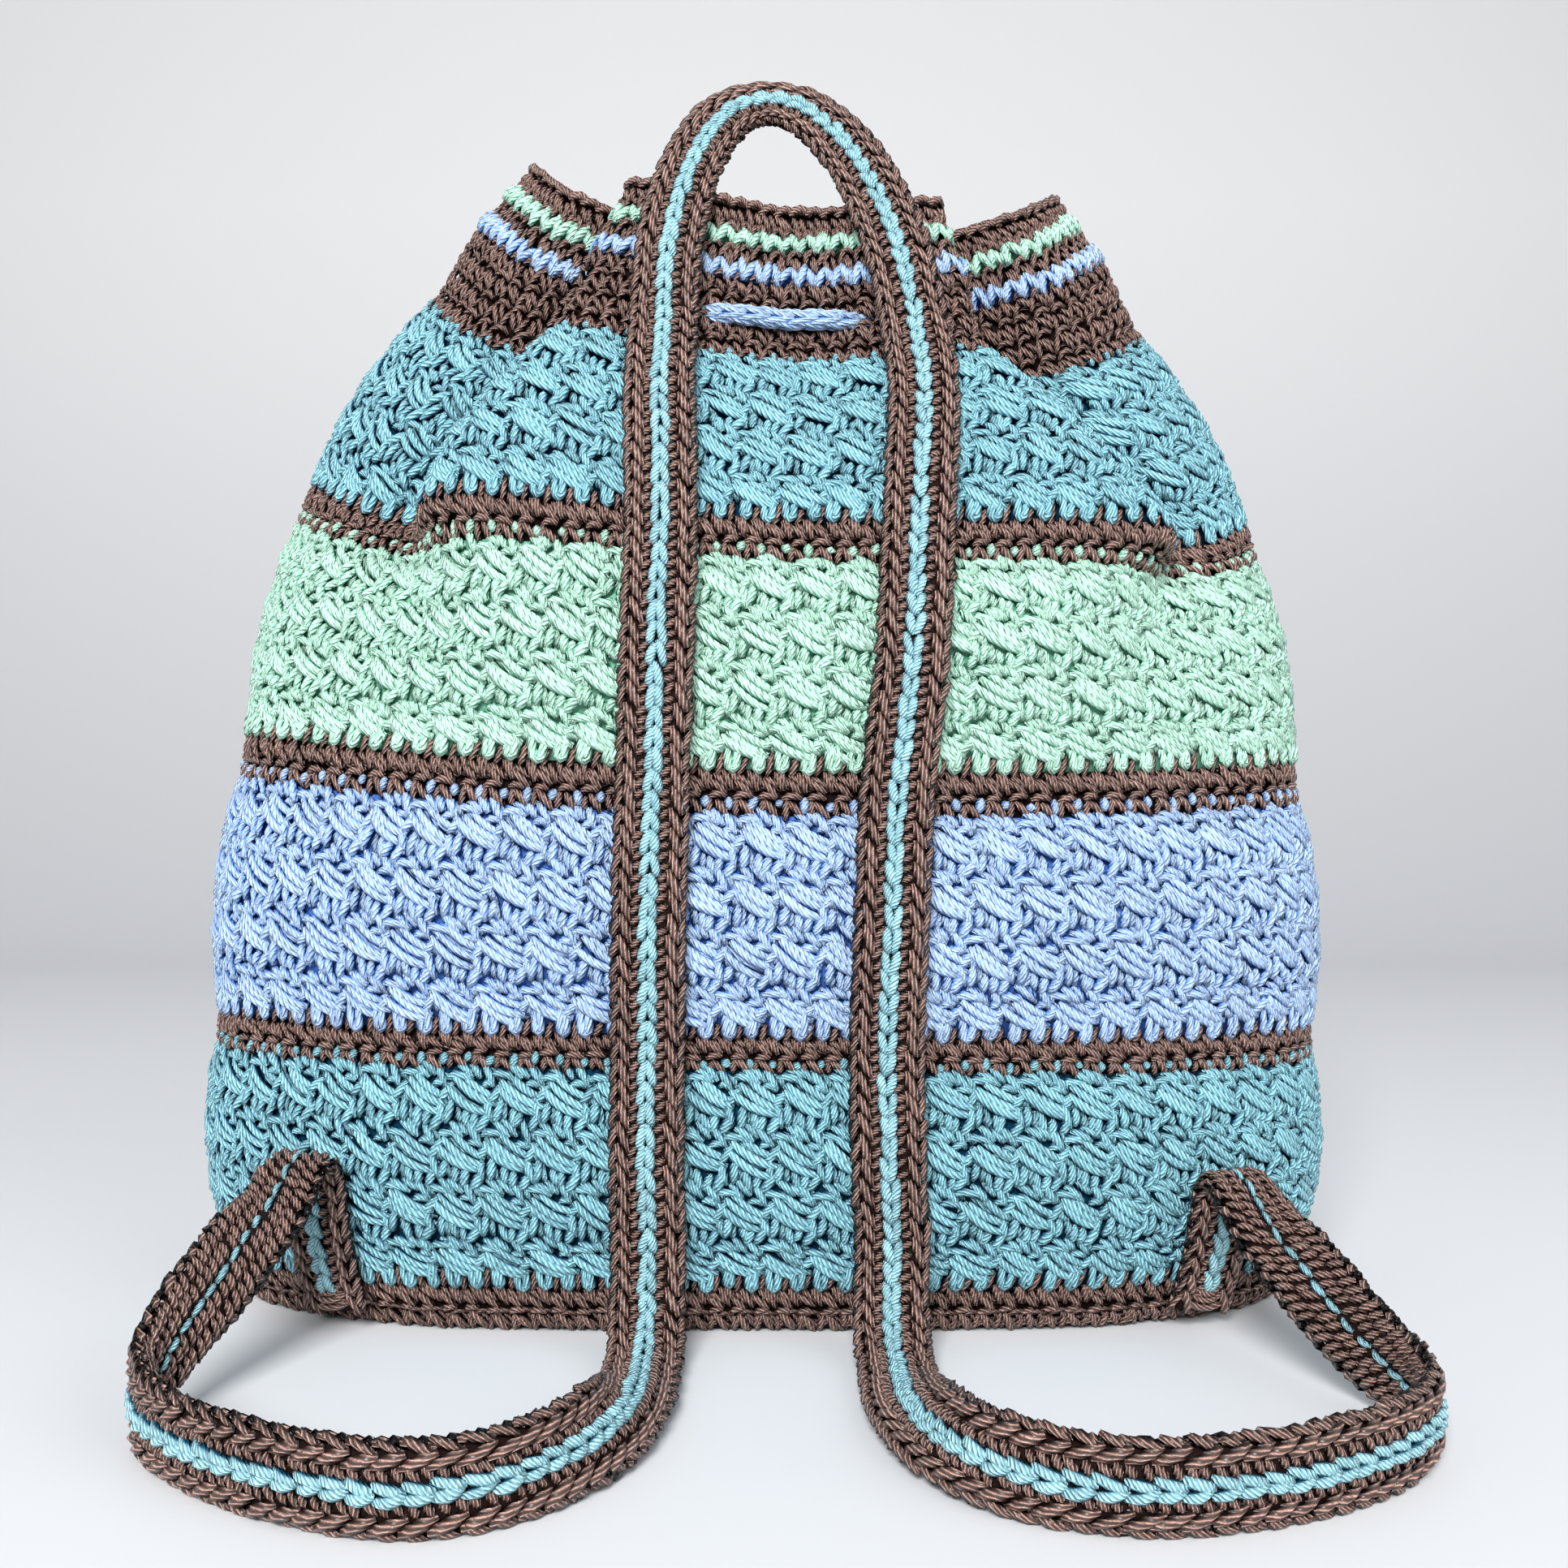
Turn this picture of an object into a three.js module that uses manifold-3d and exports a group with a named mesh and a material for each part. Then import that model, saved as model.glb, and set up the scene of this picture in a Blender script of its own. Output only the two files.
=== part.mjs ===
// Crochet drawstring backpack, standing on its base with the strap side towards -Y.
// Millimetres, +Z up, origin at the middle of the base on the floor.
import * as THREE from 'three';
import Module from 'manifold-3d';
import { mergeVertices } from 'three/addons/utils/BufferGeometryUtils.js';

// Yarn colours
const BROWN = 0x6e544c;
const TEAL = 0x63b3bd;
const BLUE = 0x9db9e6;
const MINT = 0xb4e2c8;

// Fabric
const WALL = 4; // thickness of the crocheted wall
const SEAM_GAP = 0.3; // clearance between pieces that meet
const RIDGE = 1.3; // how far a raised row stands out of the wall
const ROUND = 0.7; // how far a plain round stands out of the wall
const SUNK_SHARE = 0.35; // share of a raised row's height where a crossed stitch dips

// Drawn-in slouch of the standing bag
const SLOUCH = 8; // sideways drift of the mouth, towards +X
const SLOUCH_HEIGHT = 290; // height at which that drift is reached

// Edges of the bag from the floor up. Each edge ends one band: its height at the middle of the strap side,
// how much higher it rides at the bag's two ends, its half width, half depth, and its fold, from 0 for an oval
// to 2 for drawn in.
const EDGES = [
  { height: 0, lift: 0, halfWidth: 142, halfDepth: 60, fold: 0 },
  { height: 9.6, lift: 0.4, halfWidth: 146, halfDepth: 62, fold: 0 },
  { height: 65, lift: 0, halfWidth: 150, halfDepth: 66, fold: 0 },
  { height: 73.4, lift: 1, halfWidth: 149.5, halfDepth: 66, fold: 0 },
  { height: 127, lift: 8, halfWidth: 145, halfDepth: 67, fold: 0 },
  { height: 138, lift: 9, halfWidth: 144, halfDepth: 66.5, fold: 0.1 },
  { height: 189.6, lift: 15, halfWidth: 135, halfDepth: 62, fold: 0.7 },
  { height: 200, lift: 16, halfWidth: 131.5, halfDepth: 60, fold: 1 },
  { height: 247.5, lift: 22, halfWidth: 99, halfDepth: 37, fold: 2 },
  { height: 268, lift: 22, halfWidth: 88, halfDepth: 31.5, fold: 2 },
  { height: 273, lift: 21.5, halfWidth: 84, halfDepth: 30.4, fold: 2 },
  { height: 277.5, lift: 21, halfWidth: 81, halfDepth: 29.4, fold: 2 },
  { height: 282, lift: 20.5, halfWidth: 77.5, halfDepth: 28.4, fold: 2 },
  { height: 289.5, lift: 18, halfWidth: 74, halfDepth: 27.2, fold: 2 },
];

// Bands between those edges: yarn, raised rows or plain rounds, how far the band puffs out, columns around,
// and steps on the inside.
const BANDS = [
  { node: 'base_panel', yarn: BROWN, rounds: 1, columns: 40, shape: 'tray' },
  { node: 'lower_teal_band', yarn: TEAL, ridges: 4, puff: 4, columns: 40 },
  { node: 'lower_brown_stripe', yarn: BROWN, rounds: 1, columns: 40 },
  { node: 'blue_band', yarn: BLUE, ridges: 4, puff: 3.5, columns: 40 },
  { node: 'middle_brown_stripe', yarn: BROWN, rounds: 1, columns: 40 },
  { node: 'mint_band', yarn: MINT, ridges: 4, puff: 3, columns: 44 },
  { node: 'upper_brown_stripe', yarn: BROWN, rounds: 1, columns: 44 },
  { node: 'upper_teal_band', yarn: TEAL, ridges: 4, puff: 4, columns: 44, inside: 2 },
  { node: 'collar', yarn: BROWN, rounds: 2, columns: 44, shape: 'eyelets' },
  { node: 'collar_blue_round', yarn: BLUE, columns: 44 },
  { node: 'collar_brown_round', yarn: BROWN, columns: 44 },
  { node: 'collar_mint_round', yarn: MINT, columns: 44 },
  { node: 'mouth_edging', yarn: BROWN, columns: 44 },
];

// Quarter outlines of the three fold states, from the middle of the strap side to the end of the bag: share
// of the half width, share of the half depth, share of the lift. The right side folds less deeply.
const OVAL = [[0, 1, 0], [0.33, 1, 0.08], [0.65, 0.92, 0.35], [0.92, 0.6, 0.75], [1, 0, 1]];
const LEFT_SHOULDER = [[0, 1, 0], [0.615, 0.95, 0.27], [0.72, 0.47, 0.05], [0.87, 0.4, 0.4], [1, 0, 1]];
const RIGHT_SHOULDER = [[0, 1, 0], [0.68, 0.94, 0.22], [0.785, 0.47, 0.15], [0.9, 0.38, 0.4], [1, 0, 1]];
const LEFT_DRAWN_IN = [[0, 1, 0], [0.58, 1.06, 0.26], [0.42, 0.3, 0], [0.8, 0.66, 0.25], [1, 0, 1]];
const RIGHT_DRAWN_IN = [[0, 1, 0], [0.51, 1.06, 0.22], [0.42, 0.3, 0], [0.8, 0.66, 0.3], [1, 0, 1]];
const LEFT_FOLDS = [OVAL, LEFT_SHOULDER, LEFT_DRAWN_IN];
const RIGHT_FOLDS = [OVAL, RIGHT_SHOULDER, RIGHT_DRAWN_IN];

// Strap: one strip of crochet, with a teal chain sunk into its face
const STRAP_WIDTH = 17;
const STRAP_THICKNESS = 5;
const CHAIN_WIDTH = 5;
const CHAIN_DEPTH = 1.7;
const CHAIN_RISE = 0.5; // how far the chain stands out of the strap's face
const STRAP_STEPS = 50;
const STRAP_REST = 1.2; // clearance between a strap and the fabric that it lies on
const TAB_LEVELS = [0.6, 1, 1.25]; // levels of the tab that sews the strap to the base, counted in edges
const FOLD_POINTS = [[1, 3.4], [3.6, 5.6], [7.2, 5.2]]; // fold above the tab: distance out, distance up
const HANDLE_RISE = 67; // height of the handle's middle line above its tacks
const HANDLE_LEAN = 15; // how far its top leans back, as a curve
const HANDLE_SLANT = 9; // and as a slope
const HANDLE_SWAY = -4.5; // how far its top leans sideways
const HANDLE_PINCH = 0.06; // how far its sides draw in, as a share of the half width
const HANDLE_CURL = 0.22; // how much narrower the strip curls at the top
const HANDLE_START = 0.032; // angle that keeps its ends clear of the straps
const HANDLE_STATIONS = 12;
const HANDLE_STEPS = 22;

// Drawstring
const CORD = 5;
const CORD_SIDES = 8;
const KNOT = 9;
const EYELET_CLEARANCE = 0.6;
const EYELET_STEPS = 3;
const CORD_LEVEL = 8.45; // level of the drawstring, counted in edges
const CORD_STEPS = 34;
const END_STEPS = 11;

const UP = new THREE.Vector3(0, 0, 1);
const lerp = THREE.MathUtils.lerp;

// Where the slouch moves a point: sideways with the square of its height, and down on the side it leans to.
function slouched(point) {
  const drift = SLOUCH * (point.z / SLOUCH_HEIGHT) ** 2;
  const tilt = (2 * SLOUCH * point.z) / SLOUCH_HEIGHT ** 2;
  return new THREE.Vector3(point.x + drift, point.y, point.z - tilt * point.x);
}

// Half outline of one edge from the middle of the strap side to the middle of the far side, where side is 1
// towards +X.
function halfOutline(edge, folds, side) {
  const lower = Math.min(Math.floor(edge.fold), folds.length - 2);
  const quarter = folds[lower].map((from, k) => {
    const [x, y, rise] = from.map((share, axis) => lerp(share, folds[lower + 1][k][axis], edge.fold - lower));
    return new THREE.Vector3(side * x * edge.halfWidth, -y * edge.halfDepth, edge.height + rise * edge.lift);
  });
  const far = quarter.slice(0, -1).map((p) => new THREE.Vector3(p.x, -p.y, p.z));
  return [...quarter, ...far.reverse()];
}

// Closed outline of one edge.
function outline(edge) {
  const right = halfOutline(edge, RIGHT_FOLDS, 1);
  const left = halfOutline(edge, LEFT_FOLDS, -1).reverse().slice(1, -1);
  return new THREE.CatmullRomCurve3([...right, ...left], true, 'catmullrom', 0.5);
}

const outlines = EDGES.map(outline);

// Point of the wall's outer face before it puffs, at a share u of the way round and a level v in edges.
function profilePoint(u, v) {
  const last = EDGES.length - 1;
  const i = Math.min(Math.floor(v), last - 1);
  const t = v - i;
  const at = (k) => outlines[k].getPoint(THREE.MathUtils.euclideanModulo(u, 1));
  const slope = (k) => {
    const [before, after] = [Math.max(k - 1, 0), Math.min(k + 1, last)];
    return at(after).sub(at(before)).divideScalar(EDGES[after].height - EDGES[before].height);
  };
  const rise = EDGES[i + 1].height - EDGES[i].height;
  return new THREE.Vector3()
    .addScaledVector(at(i), 2 * t ** 3 - 3 * t ** 2 + 1)
    .addScaledVector(slope(i), (t ** 3 - 2 * t ** 2 + t) * rise)
    .addScaledVector(at(i + 1), 3 * t ** 2 - 2 * t ** 3)
    .addScaledVector(slope(i + 1), (t ** 3 - t ** 2) * rise);
}

// Level direction out of the wall.
function outward(u, v) {
  const step = 0.004;
  const along = profilePoint(u + step, v).sub(profilePoint(u - step, v));
  return new THREE.Vector3(along.y, -along.x, 0).normalize();
}

// Point at a distance out of the wall, with the band's puff and the slouch. At a seam both bands face one
// way.
function fabricPoint(u, v, out, facing = v) {
  const band = BANDS[Math.min(Math.floor(v), BANDS.length - 1)];
  const t = v - Math.floor(v);
  const puff = 4 * t * (1 - t) * (band.puff ?? 0);
  return slouched(profilePoint(u, v).addScaledVector(outward(u, facing), puff + out));
}

// Whether the facet's diagonal from a to c lies further in than the one from b to d.
function foldsInward(a, b, c, d) {
  const [side, diagonal, other] = [b, c, d].map((p) => p.clone().sub(a));
  return side.cross(diagonal).dot(other) > 0;
}

// Closed body through rings of points, where a ring's direction crossed with the path's direction points out.
// The rings close on each other, or end in two flat caps made of the given triangles. Each facet is cut along
// its inner diagonal, so that bodies that face each other keep their gap.
function loft(rings, cap) {
  const points = rings.flat();
  const count = rings[0].length;
  const spans = cap ? rings.length - 1 : rings.length;
  const index = [];
  for (let r = 0; r < spans; r += 1) {
    const [near, far] = [r * count, ((r + 1) % rings.length) * count];
    for (let c = 0; c < count; c += 1) {
      const side = (c + 1) % count;
      const facet = [near + c, near + side, far + side, far + c];
      const inward = foldsInward(...facet.map((n) => points[n]));
      const [i, j, k, l] = inward ? facet : [...facet.slice(1), facet[0]];
      index.push(i, j, k, i, k, l);
    }
  }
  const end = spans * count;
  for (const [i, j, k] of cap ?? []) {
    index.push(i, k, j, end + i, end + j, end + k);
  }
  const geometry = new THREE.BufferGeometry();
  const positions = points.flatMap((p) => [p.x, p.y, p.z]);
  geometry.setAttribute('position', new THREE.Float32BufferAttribute(positions, 3));
  return geometry.setIndex(index);
}

// Rings of a band from its lower outer edge, up the outside and down the inside. Raised rows alternate column
// by column, as the crossed stitches do.
function bandRings(band, k) {
  const trim = SEAM_GAP / 2 / (EDGES[k + 1].height - EDGES[k].height);
  const ring = (t, relief) => Array.from({ length: band.columns }, (_, c) =>
    fabricPoint(c / band.columns, k + lerp(trim, 1 - trim, t), relief(c), k + t));
  const rows = band.ridges || band.rounds ? 2 * (band.ridges ?? band.rounds) : 1;
  const outside = Array.from({ length: rows + 1 }, (_, r) => ring(r / rows, (c) => {
    const raised = r % 2 === 1 && r < rows;
    const crossed = band.ridges && (c + (r - 1) / 2) % 2 === 1;
    return raised ? (band.ridges ? RIDGE : ROUND) * (crossed ? SUNK_SHARE : 1) : 0;
  }));
  const steps = band.inside ?? 1;
  const inside = Array.from({ length: steps + 1 }, (_, r) => ring(1 - r / steps, () => -WALL));
  return [...outside, ...inside];
}

const bandGeometry = (band, k) => loft(bandRings(band, k));

// Tray of the base: its rings end in the flat bottom and in the floor of the inside.
function baseGeometry(band, k) {
  const rings = bandRings(band, k);
  const bottom = rings[0].map((p) => new THREE.Vector3(p.x, p.y, 0));
  const floor = rings.at(-1).map((p) => new THREE.Vector3(p.x, p.y, WALL));
  const cap = THREE.ShapeUtils.triangulateShape(bottom.map((p) => new THREE.Vector2(p.x, p.y)), []);
  return loft([bottom, ...rings.slice(1, -1), floor], cap);
}

// Strap section in its own axes, across the width and out of the face, clockwise.
function strapSection() {
  const [w, t] = [STRAP_WIDTH / 2, STRAP_THICKNESS / 2];
  const [groove, bed] = [CHAIN_WIDTH / 2 + SEAM_GAP, t - CHAIN_DEPTH - SEAM_GAP];
  return [[-w, t], [-groove, t], [-groove, bed], [groove, bed], [groove, t], [w, t], [w, -t], [-w, -t]];
}

// Section of the teal chain in the strap's groove.
function chainSection() {
  const [w, t] = [CHAIN_WIDTH / 2, STRAP_THICKNESS / 2];
  return [[-w, t + CHAIN_RISE], [w, t + CHAIN_RISE], [w, t - CHAIN_DEPTH], [-w, t - CHAIN_DEPTH]];
}

// Strip carried along a route whose stations hold a point and the direction across the strip, as long as the
// strip's share of its full width there.
function stripGeometry(stations, section, steps) {
  const path = new THREE.CatmullRomCurve3(stations.map((s) => s.point));
  const widths = new THREE.CatmullRomCurve3(stations.map((s) => s.across), false, 'catmullrom', 0.5);
  const rings = Array.from({ length: steps + 1 }, (_, i) => {
    const along = path.getTangent(i / steps);
    const across = widths.getPoint(i / steps);
    const share = across.length();
    across.addScaledVector(along, -across.dot(along)).setLength(share);
    const face = across.clone().cross(along).normalize();
    return section.map(([w, n]) =>
      path.getPoint(i / steps).addScaledVector(across, w).addScaledVector(face, n));
  });
  return loft(rings, THREE.ShapeUtils.triangulateShape(section.map(([w, n]) => new THREE.Vector2(n, w)), []));
}

// Station on the fabric, with the strap's back a clearance away from it.
function onFabric(u, v) {
  const out = outward(u, v);
  return {
    point: fabricPoint(u, v, RIDGE + STRAP_REST + STRAP_THICKNESS / 2),
    across: new THREE.Vector3(-out.y, out.x, 0),
  };
}

// Height of the strap's middle where it rests on the floor, lying flat or turned up on its edge.
function restingHeight(across) {
  const turned = Math.abs(across.z);
  return SEAM_GAP + (STRAP_WIDTH * turned + STRAP_THICKNESS * Math.sqrt(1 - turned ** 2)) / 2;
}

// Strap from its sewn tab at the base, folded over, round its loop on the floor and up the bag to the collar.
// The loop's points are chosen by hand: place on the floor, height above resting, direction across the strip.
function strapRoute({ tab, tabTop, loop, run }) {
  const sewn = [...TAB_LEVELS, tabTop].map((v) => onFabric(tab, v));
  const top = sewn.at(-1);
  const out = outward(tab, tabTop);
  const fold = FOLD_POINTS.map(([forward, up]) => ({
    point: top.point.clone().addScaledVector(out, forward).addScaledVector(UP, up),
    across: top.across,
  }));
  const laid = loop.map(([x, y, above, ...direction]) => {
    const across = new THREE.Vector3(...direction).normalize();
    return { point: new THREE.Vector3(x, y, restingHeight(across) + above), across };
  });
  const climb = run.map(([u, v]) => onFabric(u, v));
  return [...sewn, ...fold, ...laid, ...climb];
}

const LEFT_STRAP = strapRoute({
  tab: -0.139,
  tabTop: 1.5,
  loop: [
    [-114.3, -81.5, 30, 0.88, -0.34, -0.34],
    [-117.2, -89.5, 23.5, 0.77, -0.15, -0.6],
    [-120, -97.5, 17, 0.62, 0, -0.78],
    [-122.8, -105.5, 11.5, 0.45, 0, -0.89],
    [-125.3, -114.5, 6, 0.25, 0, -0.97],
    [-126, -124, 1.8, 0.08, 0, -1],
    [-122, -134, 0.3, 0, 0, -1],
    [-113, -144.5, 0, 0, 0, -1],
    [-99, -155, 0, 0, 0, -1],
    [-82, -163.8, 0, 0, 0, -1],
    [-64, -168.5, 0, 0, 0, -1],
    [-49.5, -165, 0, 0.1, 0, -1],
    [-37.5, -154, 0, 0.35, 0, -0.93],
    [-30, -138, 0, 0.65, 0, -0.76],
    [-27.5, -118, 0, 0.93, 0, -0.36],
    [-27, -99, 0, 1, 0, 0],
    [-27, -87, 1, 1, 0, 0],
    [-27.2, -78.5, 6.5, 1, 0, 0],
  ],
  run: [[-0.0352, 1.3], [-0.0354, 1.6], [-0.0354, 2.5], [-0.0364, 3.5], [-0.0352, 4.5], [-0.027, 5.5],
    [-0.0209, 6.5], [-0.0212, 7.2], [-0.027, 7.7], [-0.0314, 8.2]],
});

const RIGHT_STRAP = strapRoute({
  tab: 0.1425,
  tabTop: 1.44,
  loop: [
    [117.2, -82, 25.5, 0.87, 0.32, 0.38],
    [121, -90.5, 18, 0.74, 0.12, 0.66],
    [125.3, -99, 10.5, 0.56, 0, 0.83],
    [130, -107.5, 4.2, 0.35, 0, 0.94],
    [133.6, -116.5, 0.8, 0.15, 0, 0.99],
    [134.2, -126.5, 0, 0.03, 0, 1],
    [129.5, -137.5, 0, 0, 0, 1],
    [119.5, -148.5, 0, 0, 0, 1],
    [105.5, -157.5, 0, 0, 0, 1],
    [88, -164.5, 0, 0, 0, 1],
    [70, -167.5, 0, 0, 0, 1],
    [54, -164.5, 0, 0.1, 0, 1],
    [41, -155.5, 0, 0.35, 0, 0.93],
    [33, -139.5, 0, 0.65, 0, 0.76],
    [30, -118.5, 0, 0.93, 0, 0.36],
    [30, -99, 0, 1, 0, 0],
    [30, -87, 1, 1, 0, 0],
    [30, -78.5, 6.5, 1, 0, 0],
  ],
  run: [[0.0392, 1.3], [0.0377, 1.6], [0.0367, 2.5], [0.0382, 3.5], [0.0379, 4.5], [0.0303, 5.5],
    [0.0233, 6.5], [0.0236, 7.2], [0.0315, 7.7], [0.0374, 8.2]],
});

// Handle: nearly half an ellipse from tack to tack, leaning back over the mouth.
function handleRoute() {
  const [left, right] = [LEFT_STRAP, RIGHT_STRAP].map((route) => route.at(-1).point);
  const middle = left.clone().add(right).divideScalar(2);
  const reach = right.clone().sub(middle);
  return Array.from({ length: HANDLE_STATIONS + 1 }, (_, i) => {
    const angle = lerp(HANDLE_START, Math.PI - HANDLE_START, i / HANDLE_STATIONS);
    const lift = Math.sin(angle);
    const pinch = 1 - HANDLE_PINCH * Math.abs(Math.sin(2 * angle));
    const back = HANDLE_LEAN * lift ** 2 + HANDLE_SLANT * lift;
    const spoke = reach.clone().multiplyScalar(-Math.cos(angle) * pinch)
      .add(new THREE.Vector3(HANDLE_SWAY * lift, back, HANDLE_RISE * lift));
    return { point: middle.clone().add(spoke), across: spoke.setLength(HANDLE_CURL * lift ** 2 - 1) };
  });
}

// Tube of the drawstring's section along a curve.
function cordGeometry(points, diameter, steps) {
  const corner = (_, i) => new THREE.Vector2(diameter / 2, 0)
    .rotateAround(new THREE.Vector2(), (2 * Math.PI * i) / CORD_SIDES);
  const section = new THREE.Shape(Array.from({ length: CORD_SIDES }, corner));
  const extrudePath = new THREE.CatmullRomCurve3(points);
  return new THREE.ExtrudeGeometry(section, { steps, extrudePath, curveSegments: 1 });
}

// Half of the drawstring inside the collar: from the middle of the strap side in through an eyelet, past the
// folds and out through an eyelet on the far side. Places are shares of the way round and distances out of the
// wall, or distances from the middle where it hangs clear of the wall.
function runHalf(side) {
  const seat = CORD / 2 + ROUND + SEAM_GAP;
  const wall = [[0, seat], [0.01, seat], [0.0175, 0.9], [0.024, -3.6], [0.03, -7.4]];
  const threaded = (u, out) => fabricPoint(u, CORD_LEVEL, out);
  const near = wall.map(([u, out]) => threaded(side * u, out));
  const far = wall.map(([u, out]) => threaded(0.5 - side * u, out)).slice(1).reverse();
  const middle = near[0];
  const loose = [[29.5, -19], [30.5, -9], [30.5, 9], [29.5, 19]].map(([x, y]) =>
    new THREE.Vector3(middle.x + side * x, y, near.at(-1).z));
  return { near, loose, far };
}

// Free end of the drawstring, straight down the far side from its eyelet: shares of the way round, levels and
// distances out of the wall.
function endPoints(side) {
  const seat = CORD / 2 + RIDGE + SEAM_GAP;
  const drop = [
    [0.0145, 8.4, 3.2], [0.0148, 8.28, 5.4], [0.0143, 8.05, 5.8], [0.0126, 7.75, seat + 0.6],
    [0.0105, 7.4, seat + 0.8], [0.0092, 7, seat + 1], [0.0096, 6.5, seat + 1], [0.0105, 6, seat + 0.5],
    [0.0122, 5.6, seat], [0.0142, 5.2, seat + 0.4], [0.0158, 4.8, seat + 1.4], [0.0168, 4.3, seat + 1.6],
  ];
  return drop.map(([u, v, out]) => fabricPoint(0.5 - side * u, v, out));
}

const wasm = await Module();
wasm.setup();

function toManifold(geometry) {
  const bare = geometry.clone().deleteAttribute('normal').deleteAttribute('uv');
  const merged = mergeVertices(bare);
  return new wasm.Manifold(new wasm.Mesh({
    numProp: 3,
    vertProperties: new Float32Array(merged.attributes.position.array),
    triVerts: new Uint32Array(merged.index.array),
  }));
}

function fromManifold(solid) {
  const mesh = solid.getMesh();
  const geometry = new THREE.BufferGeometry();
  geometry.setAttribute('position', new THREE.BufferAttribute(new Float32Array(mesh.vertProperties), 3));
  return geometry.setIndex(new THREE.BufferAttribute(new Uint32Array(mesh.triVerts), 1));
}

// Collar with an eyelet wherever the drawstring passes through its wall.
function collarGeometry(band, k) {
  let collar = toManifold(bandGeometry(band, k));
  for (const side of [-1, 1]) {
    const { near, far } = runHalf(side);
    for (const crossing of [near.slice(1), far]) {
      const bore = cordGeometry(crossing, CORD + 2 * EYELET_CLEARANCE, EYELET_STEPS);
      collar = collar.subtract(toManifold(bore));
    }
  }
  return fromManifold(collar);
}

const group = new THREE.Group();

function addNode(name, geometry, yarn) {
  const material = new THREE.MeshStandardMaterial({ color: yarn, roughness: 0.95, metalness: 0 });
  const mesh = new THREE.Mesh(geometry, material);
  mesh.name = name;
  group.add(mesh);
}

const SHAPERS = { tray: baseGeometry, eyelets: collarGeometry };
BANDS.forEach((band, k) => addNode(band.node, (SHAPERS[band.shape] ?? bandGeometry)(band, k), band.yarn));

const STRIPS = [
  ['left_shoulder_strap', LEFT_STRAP, STRAP_STEPS],
  ['right_shoulder_strap', RIGHT_STRAP, STRAP_STEPS],
  ['carry_handle', handleRoute(), HANDLE_STEPS],
];
for (const [name, route, steps] of STRIPS) {
  addNode(name, stripGeometry(route, strapSection(), steps), BROWN);
  addNode(`${name}_chain`, stripGeometry(route, chainSection(), steps), TEAL);
}

const [leftRun, rightRun] = [-1, 1].map(runHalf);
const held = [
  ...[...leftRun.near.slice(1), ...leftRun.loose, ...leftRun.far.slice(0, -1)].reverse(),
  ...rightRun.near, ...rightRun.loose, ...rightRun.far.slice(0, -1),
];
addNode('drawstring', cordGeometry(held, CORD, CORD_STEPS), BLUE);
for (const [name, side] of [['left', -1], ['right', 1]]) {
  const points = endPoints(side);
  addNode(`drawstring_${name}_end`, cordGeometry(points, CORD, END_STEPS), BLUE);
  const knot = new THREE.LatheGeometry(
    [[0, -1], [0.7, -0.8], [1, -0.1], [0.75, 0.75], [0, 1]].map(([x, y]) =>
      new THREE.Vector2((x * KNOT) / 2, (y * KNOT) / 2)), CORD_SIDES);
  const place = points.at(-1);
  knot.rotateX(Math.PI / 2).translate(place.x, place.y, place.z - KNOT / 2 - SEAM_GAP);
  addNode(`drawstring_${name}_knot`, knot, BLUE);
}

export default group;
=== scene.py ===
"""Looks of the crochet drawstring backpack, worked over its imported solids.

Sizes in the classes are millimetres in the solids' frame. Meshes are written in metres.
"""

import logging
from dataclasses import dataclass, field
from enum import Enum

import bpy
import numpy as np
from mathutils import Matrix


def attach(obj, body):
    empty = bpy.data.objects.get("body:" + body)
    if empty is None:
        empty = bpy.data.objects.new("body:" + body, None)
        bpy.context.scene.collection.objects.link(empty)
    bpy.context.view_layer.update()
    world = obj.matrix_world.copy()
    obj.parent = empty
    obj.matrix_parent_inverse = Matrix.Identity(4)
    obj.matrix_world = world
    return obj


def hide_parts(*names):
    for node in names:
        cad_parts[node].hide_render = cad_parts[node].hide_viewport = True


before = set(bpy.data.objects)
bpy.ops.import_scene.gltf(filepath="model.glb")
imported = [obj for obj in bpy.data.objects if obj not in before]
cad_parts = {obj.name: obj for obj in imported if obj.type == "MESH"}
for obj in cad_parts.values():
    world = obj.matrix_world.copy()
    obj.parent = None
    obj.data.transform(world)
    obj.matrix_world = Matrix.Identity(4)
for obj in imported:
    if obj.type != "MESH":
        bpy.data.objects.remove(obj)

Array = np.ndarray
Pair = tuple[float, float]
Triple = tuple[float, float, float]
Box = tuple[float, float, float, float]

MM = 0.001
BODY = "root"
FLOOR = 0.0
TINY = 1e-9

# Knot spacing of a curve as a power of its chords
UNIFORM = 0.0
CENTRIPETAL = 0.5

# A piece's map: square patches for the strands in its upper half, by rows of tint, and plain boxes below them
UV_NAME = "OFBake"
PATCHES = 16
STRAND_PATCH_ROWS = 8
LEG_ROW = 3
# Tint rows from UNDER_ROW up are for strands underneath, which the strand material darkens as painted shade
UNDER_ROW = 6
PATCH_MARGIN = 0.04
END_PATCH = 0.4
HEM_BOX: Box = (0, 0.485, 1, 0.49)
GROUND_BOX: Box = (0, 0.46, 1, 0.48)
RIM_BOX: Box = (0, 0.45, 1, 0.455)
CORE_BOX: Box = (0, 0.02, 1, 0.48)
INNER_FLOOR_BOX: Box = (0, 0.22, 1, 0.42)
UNDERSIDE_BOX: Box = (0, 0, 1, 0.2)
LOW_LID: Pair = (0.1, 0.1)
HIGH_LID: Pair = (0.1, 0.3)
LID_SIZE = 0.02

# Wrong side of the fabric: stitches across the map, rows up it, and the height of one row in mm
LINING_STITCHES = 120.0
LINING_ROWS = 60.0
LINING_ROW_HEIGHT = 5.2

# A strand's section and its ends
FLATTENED = 0.8
BLUNT_END = 0.7
SWELL_POWER = 0.6
THICKNESS_SPREAD = 0.06

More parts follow.
